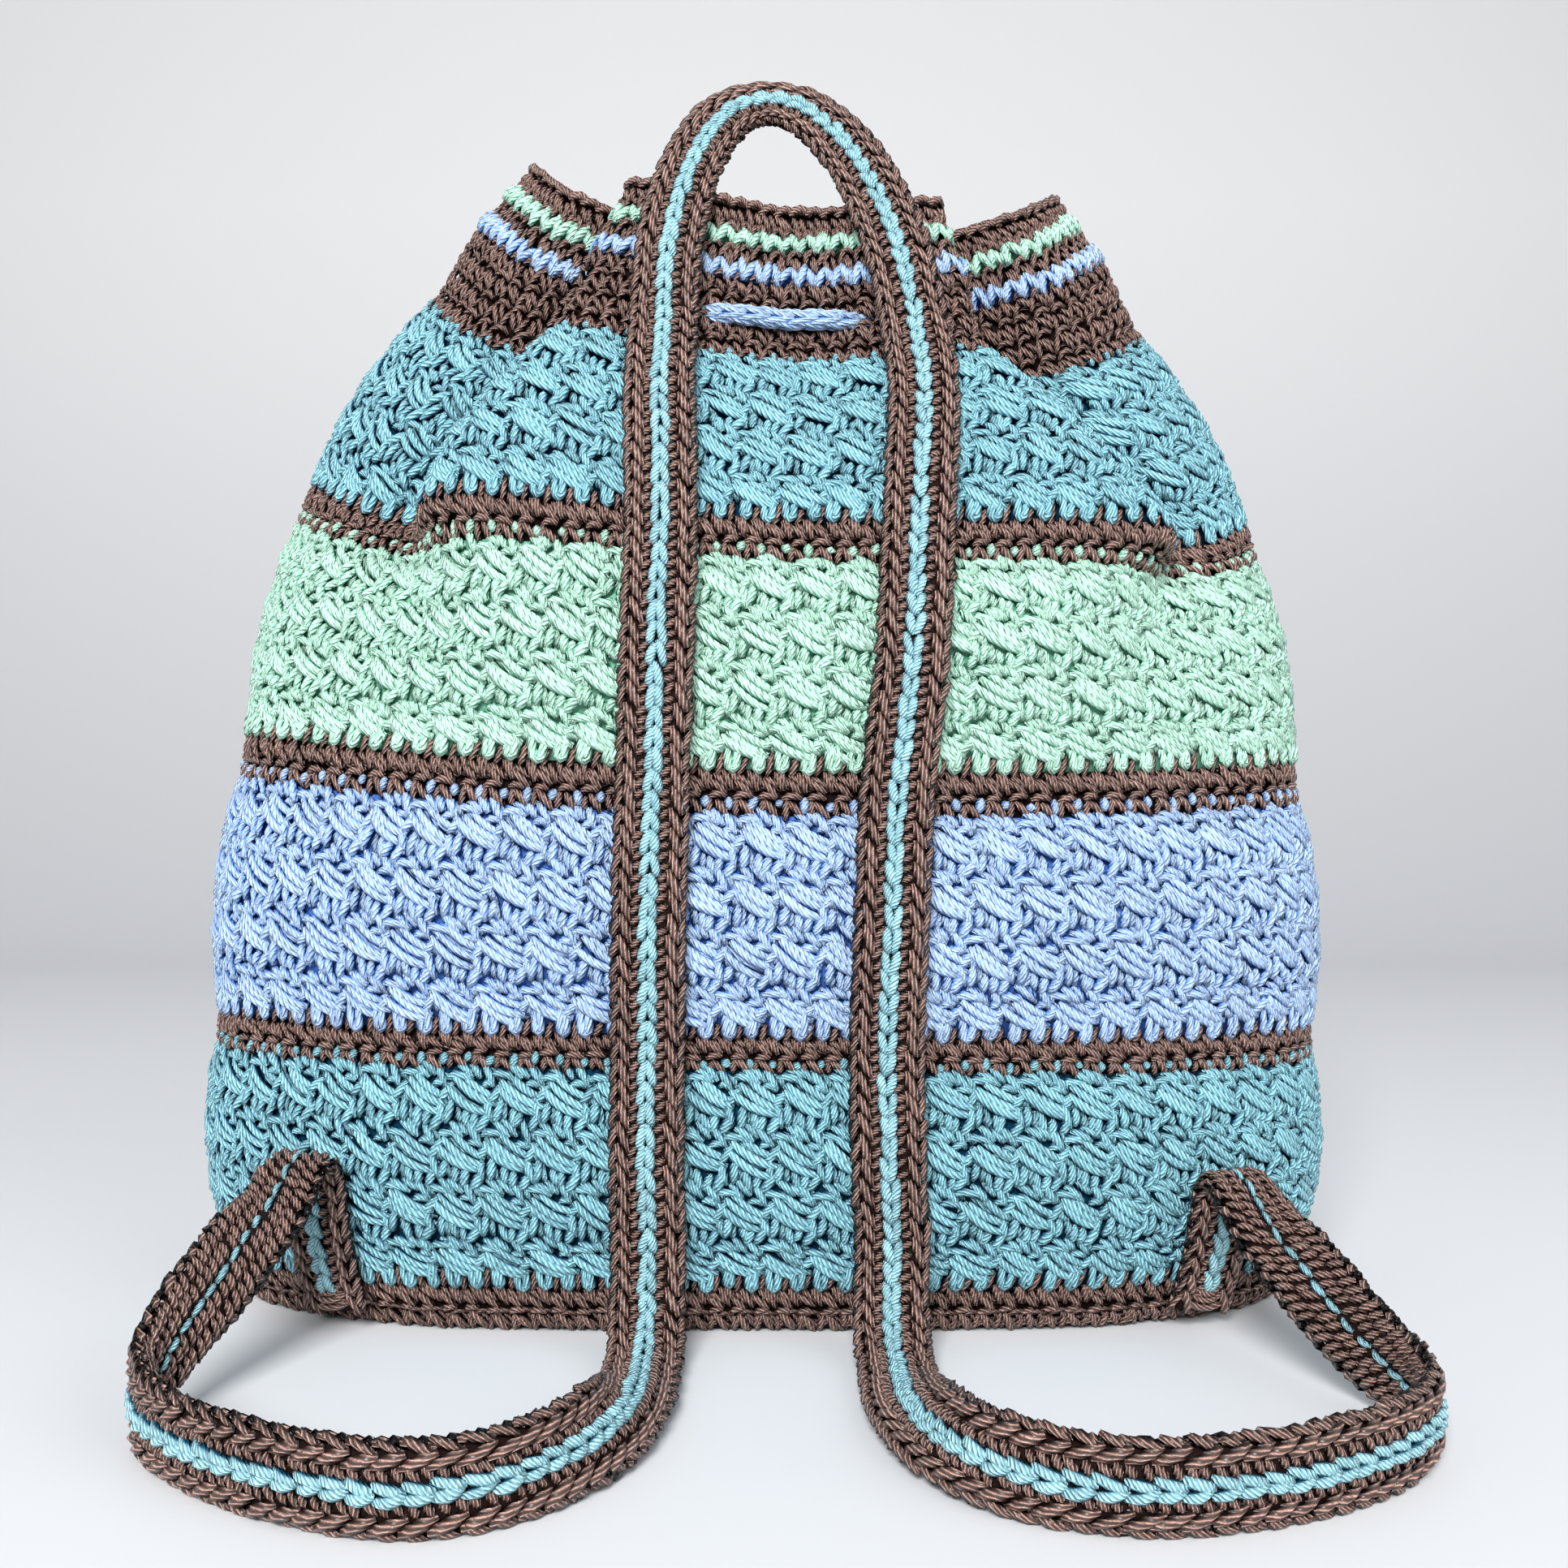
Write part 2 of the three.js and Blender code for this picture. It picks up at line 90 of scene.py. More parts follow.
log = logging.getLogger("crochet_backpack")


def unit(vectors: Array) -> Array:
    """Vectors divided by their lengths."""
    return vectors / np.maximum(np.linalg.norm(vectors, axis=-1, keepdims=True), TINY)


def hermite(start: Array, end: Array, leave: Array, arrive: Array, t: Array) -> Array:
    """Cubic that starts and ends at two points with given slopes.

    Args:
        start: Points at t 0.
        end: Points at t 1.
        leave: Slopes at t 0.
        arrive: Slopes at t 1.
        t: Share of the way, broadcast over the points.

    Returns:
        The sum of the four Hermite weights times their points and slopes.
    """
    return (
        start * (2 * t**3 - 3 * t**2 + 1)
        + leave * (t**3 - 2 * t**2 + t)
        + end * (3 * t**2 - 2 * t**3)
        + arrive * (t**3 - t**2)
    )


def open_curve(points: Array, share: Array, power: float) -> Array:
    """Catmull-Rom curve through points, with its ends carried straight on.

    Args:
        points: Stations, one row each.
        share: Shares of the way from the first station to the last, counted in stations.
        power: Knot spacing as a power of the chord: 0.5 is centripetal and 0 uniform.

    Returns:
        One point for each share: a cubic between neighbours, with slopes from the chords beside it.
    """
    padded = np.concatenate([2 * points[:1] - points[1:2], points, 2 * points[-1:] - points[-2:-1]])
    place = np.clip(share, 0, 1) * (len(points) - 1)
    index = np.minimum(place.astype(int), len(points) - 2)
    a, b, c, d = (padded[index + step] for step in range(4))
    chords = (b - a, c - b, d - c)
    before, here, after = (np.linalg.norm(chord, axis=-1, keepdims=True) ** power for chord in chords)
    leave = ((b - a) / before - (c - a) / (before + here) + (c - b) / here) * here
    arrive = ((c - b) / here - (d - b) / (here + after) + (d - c) / after) * here
    return hermite(b, c, leave, arrive, (place - index)[:, None])


def lengths_along(points: Array) -> Array:
    """Running length along the points of a line, starting at 0."""
    return np.concatenate([[0.0], np.cumsum(np.linalg.norm(np.diff(points, axis=0), axis=-1))])


def circle(corners: int) -> tuple[Array, Array]:
    """Cosines and sines of even turns round a circle."""
    angle = 2 * np.pi * np.arange(corners) / corners
    return np.cos(angle), np.sin(angle)


def linked(name: str, data: bpy.types.ID) -> bpy.types.Object:
    """New object at the origin, linked to the scene."""
    made = bpy.data.objects.new(name, data)
    bpy.context.scene.collection.objects.link(made)
    return made


class Yarn(Enum):
    """The four yarns, by the record's material slots, and a lighter copy of teal with painted light for the
    chain, which stands out into the light.
    """

    BROWN = "brown_yarn"
    TEAL = "teal_yarn"
    # Lighter copy of teal for the chain: painted light for the light that the raised chain catches
    LIT_TEAL = "teal_yarn_tight"
    BLUE = "blue_yarn"
    MINT = "mint_yarn"

    @property
    def slot(self) -> str:
        """The record's material slot."""
        return self.value.removesuffix("_tight")


class Lie(Enum):
    """How a length of yarn lies in the fabric: sides of its tube, rings, and tint rows that it may take."""

    LOOP = (4, 7, (0, LEG_ROW))
    OVER = (5, 5, (0, LEG_ROW))
    LEG = (4, 4, (LEG_ROW, UNDER_ROW))
    # Strands underneath take the darker tint rows, a painted shade
    UNDER = (3, 3, (UNDER_ROW, STRAND_PATCH_ROWS))

    @property
    def sides(self) -> int:
        """Corners of the tube's section."""
        return self.value[0]

    @property
    def rings(self) -> int:
        """Sections along the tube."""
        return self.value[1]

    @property
    def rows(self) -> tuple[int, int]:
        """First tint row and the one after the last."""
        return self.value[2]


class Face(Enum):
    """Material slots of a crocheted piece."""

    YARN = 0
    GAP = 1
    LINING = 2


class Nodes:
    """Small helper that adds linked shader nodes to one material."""

    def __init__(self, name: str) -> None:
        """Starts a material that has only its output."""
        self.material = bpy.data.materials.new(name)
        self.material.use_nodes = True
        self.tree = self.material.node_tree
        self.tree.nodes.clear()
        self.output = self.tree.nodes.new("ShaderNodeOutputMaterial")

    def add(self, kind: str, inputs: dict | None = None, **settings: object) -> bpy.types.Node:
        """Adds one node.

        Args:
            kind: Blender's node type.
            inputs: Values or sockets by input name or number.
            settings: The node's own properties.

        Returns:
            The node.
        """
        node = self.tree.nodes.new(kind)
        for key, value in settings.items():
            setattr(node, key, value)
        for key, value in (inputs or {}).items():
            if isinstance(value, bpy.types.NodeSocket):
                self.tree.links.new(value, node.inputs[key])
            else:
                node.inputs[key].default_value = value
        return node

    def math(self, operation: str, a: object, b: object = 0.0, c: object = 0.0) -> bpy.types.NodeSocket:
        """Result of one Math node."""
        return self.add("ShaderNodeMath", {0: a, 1: b, 2: c}, operation=operation).outputs[0]

    def sine(self, turns: bpy.types.NodeSocket) -> bpy.types.NodeSocket:
        """Sine of a number of full turns."""
        return self.math("SINE", self.math("MULTIPLY", turns, 2 * np.pi))

    def map_place(self) -> bpy.types.NodeSocket:
        """Place on the piece's own map."""
        return self.add("ShaderNodeUVMap", uv_map=UV_NAME).outputs[0]

    def uv(self) -> tuple[bpy.types.NodeSocket, bpy.types.NodeSocket]:
        """The two coordinates of the piece's own map."""
        split = self.add("ShaderNodeSeparateXYZ", {0: self.map_place()})
        return split.outputs[0], split.outputs[1]

    def bump(self, height: bpy.types.NodeSocket, distance: float) -> bpy.types.NodeSocket:
        """Normals of a relief whose full height is a distance in metres."""
        relief = {"Height": height, "Strength": 1.0, "Distance": distance}
        return self.add("ShaderNodeBump", relief).outputs[0]

    def blend(self, share: bpy.types.NodeSocket, low: Array, high: Array) -> bpy.types.NodeSocket:
        """Colour between two, by a share."""
        mix = self.add("ShaderNodeMix", {0: share, 6: (*low, 1), 7: (*high, 1)}, data_type="RGBA")
        return mix.outputs[2]

    def finish(self, inputs: dict) -> bpy.types.Material:
        """Adds the surface shader with its inputs, joins it to the output and gives the material."""
        shader = self.add("ShaderNodeBsdfPrincipled", inputs)
        self.tree.links.new(shader.outputs[0], self.output.inputs[0])
        return self.material


@dataclass(frozen=True)
class YarnFinish:
    """Spun yarn with a soft shine: light plies twisted round grooves in painted shade, over a ground in
    painted shade.

    Colours are written as they look in plain light, from 0 to 255; the groove and ground colours are painted
    shade for the creases between plies and the gaps between stitches. The body is the power that shapes a
    ply, the depth is the share of painted shade that its grooves take away, and the spread is the range of
    the strands' brightness.
    """

    yarn: Yarn
    colour: Triple
    groove: Triple
    ground: Triple
    body: float = 0.8
    depth: float = 0.64
    plies: float = 6.0
    turns: float = 3.5
    roughness: float = 0.38
    shine: float = 0.32
    spread: float = 0.3
    relief: float = 0.0004
    fibre_along: float = 7.0
    fibre_step: float = 3.0
    fibre_gain: float = 4.4
    fibre_start: float = -1.0
    # Painted light on the crest of a strand, with painted shade on its flanks
    crest_gain: float = 1.4
    crest_start: float = -0.2
    # Painted shade on the strands underneath
    under_shade: float = 0.2
    mottle: float = 160.0
    mottle_shares: Pair = (0.4, 1.4)
    bead_power: float = 0.7
    bead_twist: float = 5.0
    bead_twist_share: float = 0.1
    bead_relief: float = 0.0012
    inside_share: float = 0.8

    @staticmethod
    def linear(colour: Triple, share: float = 1.0) -> Array:
        """A written colour as linear light, by the usual display curve, times a share."""
        c = np.array(colour) / 255
        return share * np.where(c <= 0.04045, c / 12.92, ((c + 0.055) / 1.055) ** 2.4)

    def strand(self) -> bpy.types.Material:
        """Material of the strands, on the tint patches of the map.

        Returns:
            A material whose twist is the sine of plies around plus turns along, with twice the turns on the
            long strands. Fibre noise breaks the plies up, and the sine of the way around paints light on the
            crest of a strand. The grooves and flanks take the dark colour as painted shade, each patch has
            its own brightness, and the strands underneath are darker by a painted shade.
        """
        nodes = Nodes(self.yarn.value)
        first_row = PATCHES - STRAND_PATCH_ROWS
        u, v = nodes.uv()
        column, row = nodes.math("MULTIPLY", u, PATCHES), nodes.math("MULTIPLY", v, PATCHES)
        along, around = nodes.math("FRACT", column), nodes.math("FRACT", row)
        short = nodes.math("GREATER_THAN", row, first_row + LEG_ROW)
        turns = nodes.math("MULTIPLY_ADD", short, -self.turns, 2 * self.turns)
        phase = nodes.math("MULTIPLY_ADD", around, self.plies, nodes.math("MULTIPLY", along, turns))
        ply = nodes.math("POWER", nodes.math("MULTIPLY_ADD", nodes.sine(phase), 0.5, 0.5), self.body)
        patch_column, patch_row = nodes.math("FLOOR", column), nodes.math("FLOOR", row)
        run = nodes.math("MULTIPLY", column, self.fibre_along)
        step = nodes.math("MULTIPLY", patch_row, self.fibre_step)
        grain = nodes.add("ShaderNodeCombineXYZ", {0: phase, 1: run, 2: step}).outputs[0]
        fibre = nodes.add("ShaderNodeTexNoise", {"Vector": grain, "Scale": 1.0, "Detail": 2.0}).outputs[0]
        # Painted light: the crest of each strand is lit, and its flanks take the groove colour as painted
        # shade
        crest = nodes.math("MULTIPLY_ADD", nodes.sine(around), self.crest_gain, self.crest_start)
        crest.node.use_clamp = True
        broken = nodes.math("MULTIPLY_ADD", fibre, self.fibre_gain, self.fibre_start)
        twisted = nodes.math("MULTIPLY", ply, broken)
        # Painted shade: the grooves between plies take the dark groove colour
        grooved = nodes.math("MULTIPLY_ADD", twisted, self.depth, 1 - self.depth)
        lit = nodes.math("MULTIPLY", grooved, crest)
        lit.node.use_clamp = True
        cell = nodes.add("ShaderNodeCombineXYZ", {0: patch_column, 1: patch_row}).outputs[0]
        tint = nodes.add("ShaderNodeTexWhiteNoise", {"Vector": cell}, noise_dimensions="2D").outputs[0]
        bright = nodes.math("MULTIPLY_ADD", tint, self.spread, 1 - self.spread / 2)
        # Painted shade: the strands underneath are darkened by under_shade
        under = nodes.math("GREATER_THAN", row, first_row + UNDER_ROW)
        sunk = nodes.math("MULTIPLY_ADD", under, -self.under_shade, 1.0)
        base = nodes.blend(lit, self.linear(self.groove), self.linear(self.colour))
        value = nodes.math("MULTIPLY", bright, sunk)
        colour = nodes.add("ShaderNodeHueSaturation", {"Color": base, "Value": value})
        inputs = {
            "Base Color": colour.outputs[0],
            "Normal": nodes.bump(twisted, self.relief),
            "Roughness": self.roughness,
            "Specular IOR Level": self.shine,
        }
        return nodes.finish(inputs)

    def gap(self) -> bpy.types.Material:
        """Ground yarn that shows between the stitches, darkened as painted shade for the gaps, mottled by
        noise on the map.
        """
        nodes = Nodes(self.yarn.value + "_gap")
        noise = nodes.add("ShaderNodeTexNoise", {"Vector": nodes.map_place(), "Scale": self.mottle})
        dark, light = (self.linear(self.ground, share) for share in self.mottle_shares)
        colour = nodes.blend(noise.outputs[0], dark, light)
        return nodes.finish({"Base Color": colour, "Roughness": 0.9, "Specular IOR Level": 0.1})

    def lining(self) -> bpy.types.Material:
        """Wrong side of the fabric: staggered beads of plain stitches, a power of two sines' product."""
        nodes = Nodes(self.yarn.value + "_inside")
        u, v = nodes.uv()
        rows = nodes.math("MULTIPLY", v, LINING_ROWS)
        stagger = nodes.math("MULTIPLY", nodes.math("FLOOR", rows), 0.5)
        shifted = nodes.math("MULTIPLY_ADD", u, LINING_STITCHES, stagger)
        across = nodes.math("SINE", nodes.math("MULTIPLY", nodes.math("FRACT", shifted), np.pi))
        up = nodes.math("SINE", nodes.math("MULTIPLY", nodes.math("FRACT", rows), np.pi))
        bead = nodes.math("POWER", nodes.math("MULTIPLY", across, up), self.bead_power)
        twist = nodes.sine(nodes.math("MULTIPLY_ADD", shifted, self.bead_twist, rows))
        height = nodes.math("MULTIPLY_ADD", twist, self.bead_twist_share, bead)
        # Painted shade: the hollows between beads take the dark ground colour, the beads a share of the
        # yarn's colour
        colour = nodes.blend(height, self.linear(self.ground), self.linear(self.colour, self.inside_share))
        normal = nodes.bump(height, self.bead_relief)
        return nodes.finish({"Base Color": colour, "Normal": normal, "Roughness": 0.6})


FINISHES = (
    YarnFinish(
        Yarn.BROWN,
        (206, 164, 150),
        (14, 5, 3),
        (30, 18, 15),
        body=1.9,
        depth=0.92,
        plies=5.0,
        turns=3.0,
        roughness=0.34,
        shine=0.5,
    ),
    YarnFinish(Yarn.TEAL, (168, 232, 244), (2, 60, 96), (3, 54, 80)),
    # Teal of the chain: a lighter copy with painted light, for the light that the raised chain catches
    YarnFinish(Yarn.LIT_TEAL, (186, 239, 248), (14, 86, 116), (3, 54, 80), depth=0.56),
    YarnFinish(
        Yarn.BLUE, (200, 224, 250), (92, 142, 218), (70, 112, 194), depth=0.48, shine=0.22, spread=0.18
    ),
    YarnFinish(
        Yarn.MINT, (200, 236, 218), (150, 216, 188), (116, 182, 154), depth=0.46, shine=0.18, spread=0.16
    ),
)
DRESSED = {finish.yarn: (finish.strand(), finish.gap(), finish.lining()) for finish in FINISHES}


@dataclass(frozen=True)
class Strand:
    """One visible length of yarn in a stitch: points across and up as shares of the stitch, and out in mm."""

    points: tuple[Triple, ...]
    lie: Lie
    radius: float

    def line(self) -> Array:
        """Ring centres: the uniform curve through the points, evenly sampled."""
        return open_curve(np.array(self.points, float), np.linspace(0, 1, self.lie.rings), UNIFORM)

    def settled(self, share: float, about: float) -> "Strand":
        """The same strand with its heights drawn together about a level, to a share of their distance."""
        points = tuple((x, about + share * (y - about), n) for x, y, n in self.points)
        return Strand(points, self.lie, self.radius)


class CrochetMesh:
    """Gathers the tubes and grounds of one piece and turns them into one mesh object."""

    def __init__(self, name: str, seed: int) -> None:
        """Starts an empty mesh with its own seeded random numbers."""
        self.name = name
        self.random = np.random.default_rng(seed)
        self.points: list[Array] = []
        self.corners: list[Array] = []
        self.sizes: list[Array] = []
        self.maps: list[Array] = []
        self.faces: list[Array] = []
        self.count = 0

    def polygons(self, corners: Array, maps: Array, face: Face) -> None:
        """Adds polygons of one size.

        Args:
            corners: Vertex numbers, one row for each polygon.
            maps: Map places of the same corners.
            face: Material slot.
        """
        self.corners.append(corners.ravel())
        self.sizes.append(np.full(len(corners), corners.shape[1]))
        self.maps.append(maps.reshape(-1, 2))
        self.faces.append(np.full(len(corners), face.value))

    def vertices(self, points: Array) -> Array:
        """Adds vertices and gives their numbers in the same layout."""
        numbers = self.count + np.arange(points[..., 0].size).reshape(points.shape[:-1])
        self.points.append(points.reshape(-1, 3))
        self.count += numbers.size
        return numbers

    def wander(self, spread: float, many: int, rings: int) -> Array:
        """Loose offsets of strands.

        Args:
            spread: Standard deviation in mm.
            many: Strands.
            rings: Places along each.

        Returns:
            Offsets in three directions by strands by places, each on a line between two seeded draws.
        """
        ends = self.random.normal(0, spread, (3, many, 2))
        share = np.linspace(0, 1, rings)
        return ends[..., :1] * (1 - share) + ends[..., 1:] * share

    def tubes(self, centres: Array, facing: Array, radius: float, lie: Lie) -> None:
        """Adds closed tubes of yarn, all of one kind.

        A ring is its centre plus the radius times the cosine of the angle across the strand and a flatter
        sine of it out of the fabric. The radius swells from the blunt ends to the middle by a power of half a
        sine, and differs strand by strand.

        Args:
            centres: Ring centres, strands by rings by 3.
            facing: Directions out of the fabric at the same places.
            radius: Yarn radius in mm.
            lie: How the strands lie.
        """
        many, rings, sides = centres.shape[0], lie.rings, lie.sides
        along = unit(np.gradient(centres, axis=1))
        side = unit(np.cross(along, facing))
        up = np.cross(side, along)
        cosine, sine = circle(sides)
        hump = np.sin(np.pi * np.arange(rings) / (rings - 1)) ** SWELL_POWER
        swell = BLUNT_END + (1 - BLUNT_END) * hump
        thick = radius * self.random.normal(1, THICKNESS_SPREAD, (many, 1, 1, 1)) * swell[:, None, None]
        flat = FLATTENED * sine[:, None]
        spoke = cosine[:, None] * side[:, :, None, :] + flat * up[:, :, None, :]
        numbers = self.vertices(centres[:, :, None, :] + thick * spoke)
        columns = self.random.integers(0, PATCHES, many)
        rows = self.random.integers(*lie.rows, many) + PATCHES - STRAND_PATCH_ROWS
        cell = np.stack([columns, rows], -1)
        i, j = np.meshgrid(np.arange(rings - 1), np.arange(sides), indexing="ij")
        step = np.array([[0, 0], [1, 0], [1, 1], [0, 1]])
        ring, corner = i[..., None] + step[:, 0], j[..., None] + step[:, 1]
        share = np.stack([ring / (rings - 1), corner / sides], -1)
        local = PATCH_MARGIN + (1 - 2 * PATCH_MARGIN) * share
        maps = (cell[:, None, None, None, :] + local) / PATCHES
        self.polygons(numbers[:, ring, corner % sides].reshape(-1, 4), maps, Face.YARN)
        disc = 0.5 + END_PATCH * np.stack([cosine, sine], -1)
        ends = (cell[:, None, :] + disc) / PATCHES
        self.polygons(numbers[:, 0], ends, Face.YARN)
        self.polygons(numbers[:, -1, ::-1], ends, Face.YARN)

    def sheet(self, grid: Array, box: Box, face: Face) -> Array:
        """Adds a surface of quads that closes on itself along its columns.

        Args:
            grid: Points, rows by columns by 3. Columns crossed with rows point outwards.
            box: Map corners: left, low, right, high.
            face: Material slot.

        Returns:
            The vertex numbers, rows by columns.
        """
        numbers = self.vertices(grid)
        self.quads(numbers, box, face)
        return numbers

    def quads(self, numbers: Array, box: Box, face: Face) -> None:
        """Adds the quads between vertex rows, closed along the columns and spread over a box of the map."""
        rows, columns = numbers.shape
        i, j = np.meshgrid(np.arange(rows - 1), np.arange(columns), indexing="ij")
        step = np.array([[0, 0], [0, 1], [1, 1], [1, 0]])
        row, column = i[..., None] + step[:, 0], j[..., None] + step[:, 1]
        left, low, right, high = box
        across, up = column / columns, row / (rows - 1)
        maps = np.stack([left + (right - left) * across, low + (high - low) * up], -1)
        self.polygons(numbers[row, column % columns].reshape(-1, 4), maps, face)

    def lid(self, numbers: Array, place: Pair, face: Face) -> None:
        """Closes a ring of vertices with one polygon, whose map is a small circle at a place."""
        ring = np.array(place) + LID_SIZE * np.stack(circle(len(numbers)), -1)
        self.polygons(numbers[None], ring[None], face)

    def core(self, grid: Array) -> None:
        """Adds a closed core under the strands: a sheet with a lid on its first and its last row."""
        # The core takes the gap material, dark with painted shade
        numbers = self.sheet(grid, CORE_BOX, Face.GAP)
        self.lid(numbers[0][::-1], LOW_LID, Face.GAP)
        self.lid(numbers[-1], HIGH_LID, Face.GAP)

    def build(self, yarn: Yarn, *nodes: str) -> bpy.types.Object:
        """Writes the mesh, with what would reach below the floor pressed flat on it.

        Args:
            yarn: The piece's yarn.
            nodes: Solids that the piece stands for.

        Returns:
            The object, at the origin and riding on the root body.
        """
        corners, sizes = np.concatenate(self.corners), np.concatenate(self.sizes)
        points = np.concatenate(self.points)
        points[:, 2] = np.maximum(points[:, 2], FLOOR)
        mesh = bpy.data.meshes.new(self.name)
        mesh.vertices.add(self.count)
        mesh.vertices.foreach_set("co", (points * MM).astype(np.float32).ravel())
        mesh.loops.add(len(corners))
        mesh.polygons.add(len(sizes))
        mesh.polygons.foreach_set("loop_start", (np.cumsum(sizes) - sizes).astype(np.int32))
        mesh.loops.foreach_set("vertex_index", corners.astype(np.int32))
        for finish in DRESSED[yarn]:
            mesh.materials.append(finish)
        mesh.polygons.foreach_set("material_index", np.concatenate(self.faces).astype(np.int32))
        mesh.polygons.foreach_set("use_smooth", np.ones(len(sizes), bool))
        mesh.update(calc_edges=True)
        layer = mesh.uv_layers.new(name=UV_NAME)
        layer.uv.foreach_set("vector", np.concatenate(self.maps).astype(np.float32).ravel())
        piece = linked(self.name, mesh)
        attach(piece, BODY)
        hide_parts(*nodes)
        yarn.slot
        log.info("%s: %d triangles", self.name, int((sizes - 2).sum()))
        return piece


@dataclass
class BagForm:
    """Curved wall of the bag as the solids have it: edges, fold outlines, puff and slouch."""

    # height, lift at the ends, half width, half depth, fold
    edges: Array = field(
        default_factory=lambda: np.array(
            [
                (0, 0, 142, 60, 0),
                (9.6, 0.4, 146, 62, 0),
                (65, 0, 150, 66, 0),
                (73.4, 1, 149.5, 66, 0),
                (127, 8, 145, 67, 0),
                (138, 9, 144, 66.5, 0.1),
                (189.6, 15, 135, 62, 0.7),
                (200, 16, 131.5, 60, 1),
                (247.5, 22, 99, 37, 2),
                (268, 22, 88, 31.5, 2),
                (273, 21.5, 84, 30.4, 2),
                (277.5, 21, 81, 29.4, 2),
                (282, 20.5, 77.5, 28.4, 2),
                (289.5, 18, 74, 27.2, 2),
            ],
            float,
        )
    )
    puffs: Array = field(default_factory=lambda: np.array([0, 4, 0, 3.5, 0, 3, 0, 4, 0, 0, 0, 0, 0], float))
    steps: tuple[int, ...] = (5, 16, 5, 16, 5, 16, 5, 16, 8, 3, 3, 3, 3)
    slouch: float = 8.0
    slouch_height: float = 290.0
    wall: float = 4.0
    around: int = 900
    nudge: float = 0.004

    def __post_init__(self) -> None:
        """Makes the table of wall points and normals by height and by share of the way round."""
        self.controls = self.quarters()
        stepped = [k + np.arange(n) / n for k, n in enumerate(self.steps)]
        level = np.concatenate([*stepped, [len(self.steps)]])
        even = np.linspace(0, 1, self.around + 1)
        v = np.repeat(level, len(even))
        shape = (len(level), len(even), 3)
        rough = self.fabric(np.tile(even, len(level)), v, 0.0).reshape(shape)
        run = np.stack([lengths_along(line) for line in rough])
        self.girths = run[:, -1]
        share = np.stack([np.interp(even * r[-1], r, even) for r in run])
        points = self.fabric(share.ravel(), v, 0.0).reshape(shape)
        ring = points[:, :-1]
        around = np.roll(ring, -1, 1) - np.roll(ring, 1, 1)
        normals = unit(np.cross(around, np.gradient(ring, axis=0)))
        self.table = np.concatenate([points, np.concatenate([normals, normals[:, :1]], 1)], -1)
        self.heights = lengths_along(points[:, 0])
        self.seams = self.heights[np.concatenate([[0], np.cumsum(self.steps)])]

    def quarters(self) -> Array:
        """Control points of every edge: quarter shares blended by fold, then mirrored to a closed outline."""
        oval = [(0, 1, 0), (0.33, 1, 0.08), (0.65, 0.92, 0.35), (0.92, 0.6, 0.75), (1, 0, 1)]
        left_shoulder = [(0, 1, 0), (0.615, 0.95, 0.27), (0.72, 0.47, 0.05), (0.87, 0.4, 0.4), (1, 0, 1)]
        right_shoulder = [(0, 1, 0), (0.68, 0.94, 0.22), (0.785, 0.47, 0.15), (0.9, 0.38, 0.4), (1, 0, 1)]
        left_drawn_in = [(0, 1, 0), (0.58, 1.06, 0.26), (0.42, 0.3, 0), (0.8, 0.66, 0.25), (1, 0, 1)]
        right_drawn_in = [(0, 1, 0), (0.51, 1.06, 0.22), (0.42, 0.3, 0), (0.8, 0.66, 0.3), (1, 0, 1)]
        right = self.half_outlines(np.array([oval, right_shoulder, right_drawn_in]), 1)
        left = self.half_outlines(np.array([oval, left_shoulder, left_drawn_in]), -1)
        return np.concatenate([right, left[:, -2:0:-1]], 1)

    def half_outlines(self, folds: Array, side: int) -> Array:
        """Control points of every edge on one side.

        Args:
            folds: Quarter outlines of the three fold states, as shares of half width, half depth and lift.
            side: 1 towards +X, -1 towards -X.

        Returns:
            The quarters blended by each edge's fold, and mirrored from the strap side to the far side.
        """
        height, lift, width, depth, fold = self.edges.T[:, :, None]
        lower = np.minimum(fold[:, 0].astype(int), 1)
        share = folds[lower] + (fold[..., None] - lower[:, None, None]) * (folds[lower + 1] - folds[lower])
        x, y, rise = np.moveaxis(share, -1, 0)
        quarter = np.stack([side * x * width, -y * depth, height + rise * lift], -1)
        return np.concatenate([quarter, (quarter * [1, -1, 1])[:, -2::-1]], 1)

    def outlines(self, u: Array) -> Array:
        """Points of every edge at shares u of the way round, on the closed uniform Catmull-Rom curve."""
        count = self.controls.shape[1]
        place = np.mod(u, 1.0) * count
        index = place.astype(int)
        t = (place - index)[:, None]
        a, b, c, d = (self.controls[:, (index + step) % count] for step in (-1, 0, 1, 2))
        return hermite(b, c, (c - a) / 2, (d - b) / 2, t)

    def profile(self, u: Array, v: Array) -> Array:
        """Wall before it puffs.

        Args:
            u: Shares of the way round, from the middle of the strap side towards +X.
            v: Levels counted in edges.

        Returns:
            Points on a cubic from edge to edge, whose slopes are the chords between the edges on both sides.
        """
        rings = self.outlines(u)
        last = len(self.edges) - 1
        i = np.minimum(v.astype(int), last - 1)
        many = np.arange(len(u))
        height = self.edges[:, 0]
        before, after = np.maximum(i - 1, 0), np.minimum(i + 2, last)
        rise = (height[i + 1] - height[i])[:, None]
        leave = (rings[i + 1, many] - rings[before, many]) / (height[i + 1] - height[before])[:, None]
        arrive = (rings[after, many] - rings[i, many]) / (height[after] - height[i])[:, None]
        return hermite(rings[i, many], rings[i + 1, many], leave * rise, arrive * rise, (v - i)[:, None])

    def outward(self, u: Array, v: Array) -> Array:
        """Level directions out of the wall, square to the outline."""
        along = self.profile(u + self.nudge, v) - self.profile(u - self.nudge, v)
        return unit(np.stack([along[:, 1], -along[:, 0], np.zeros(len(u))], -1))

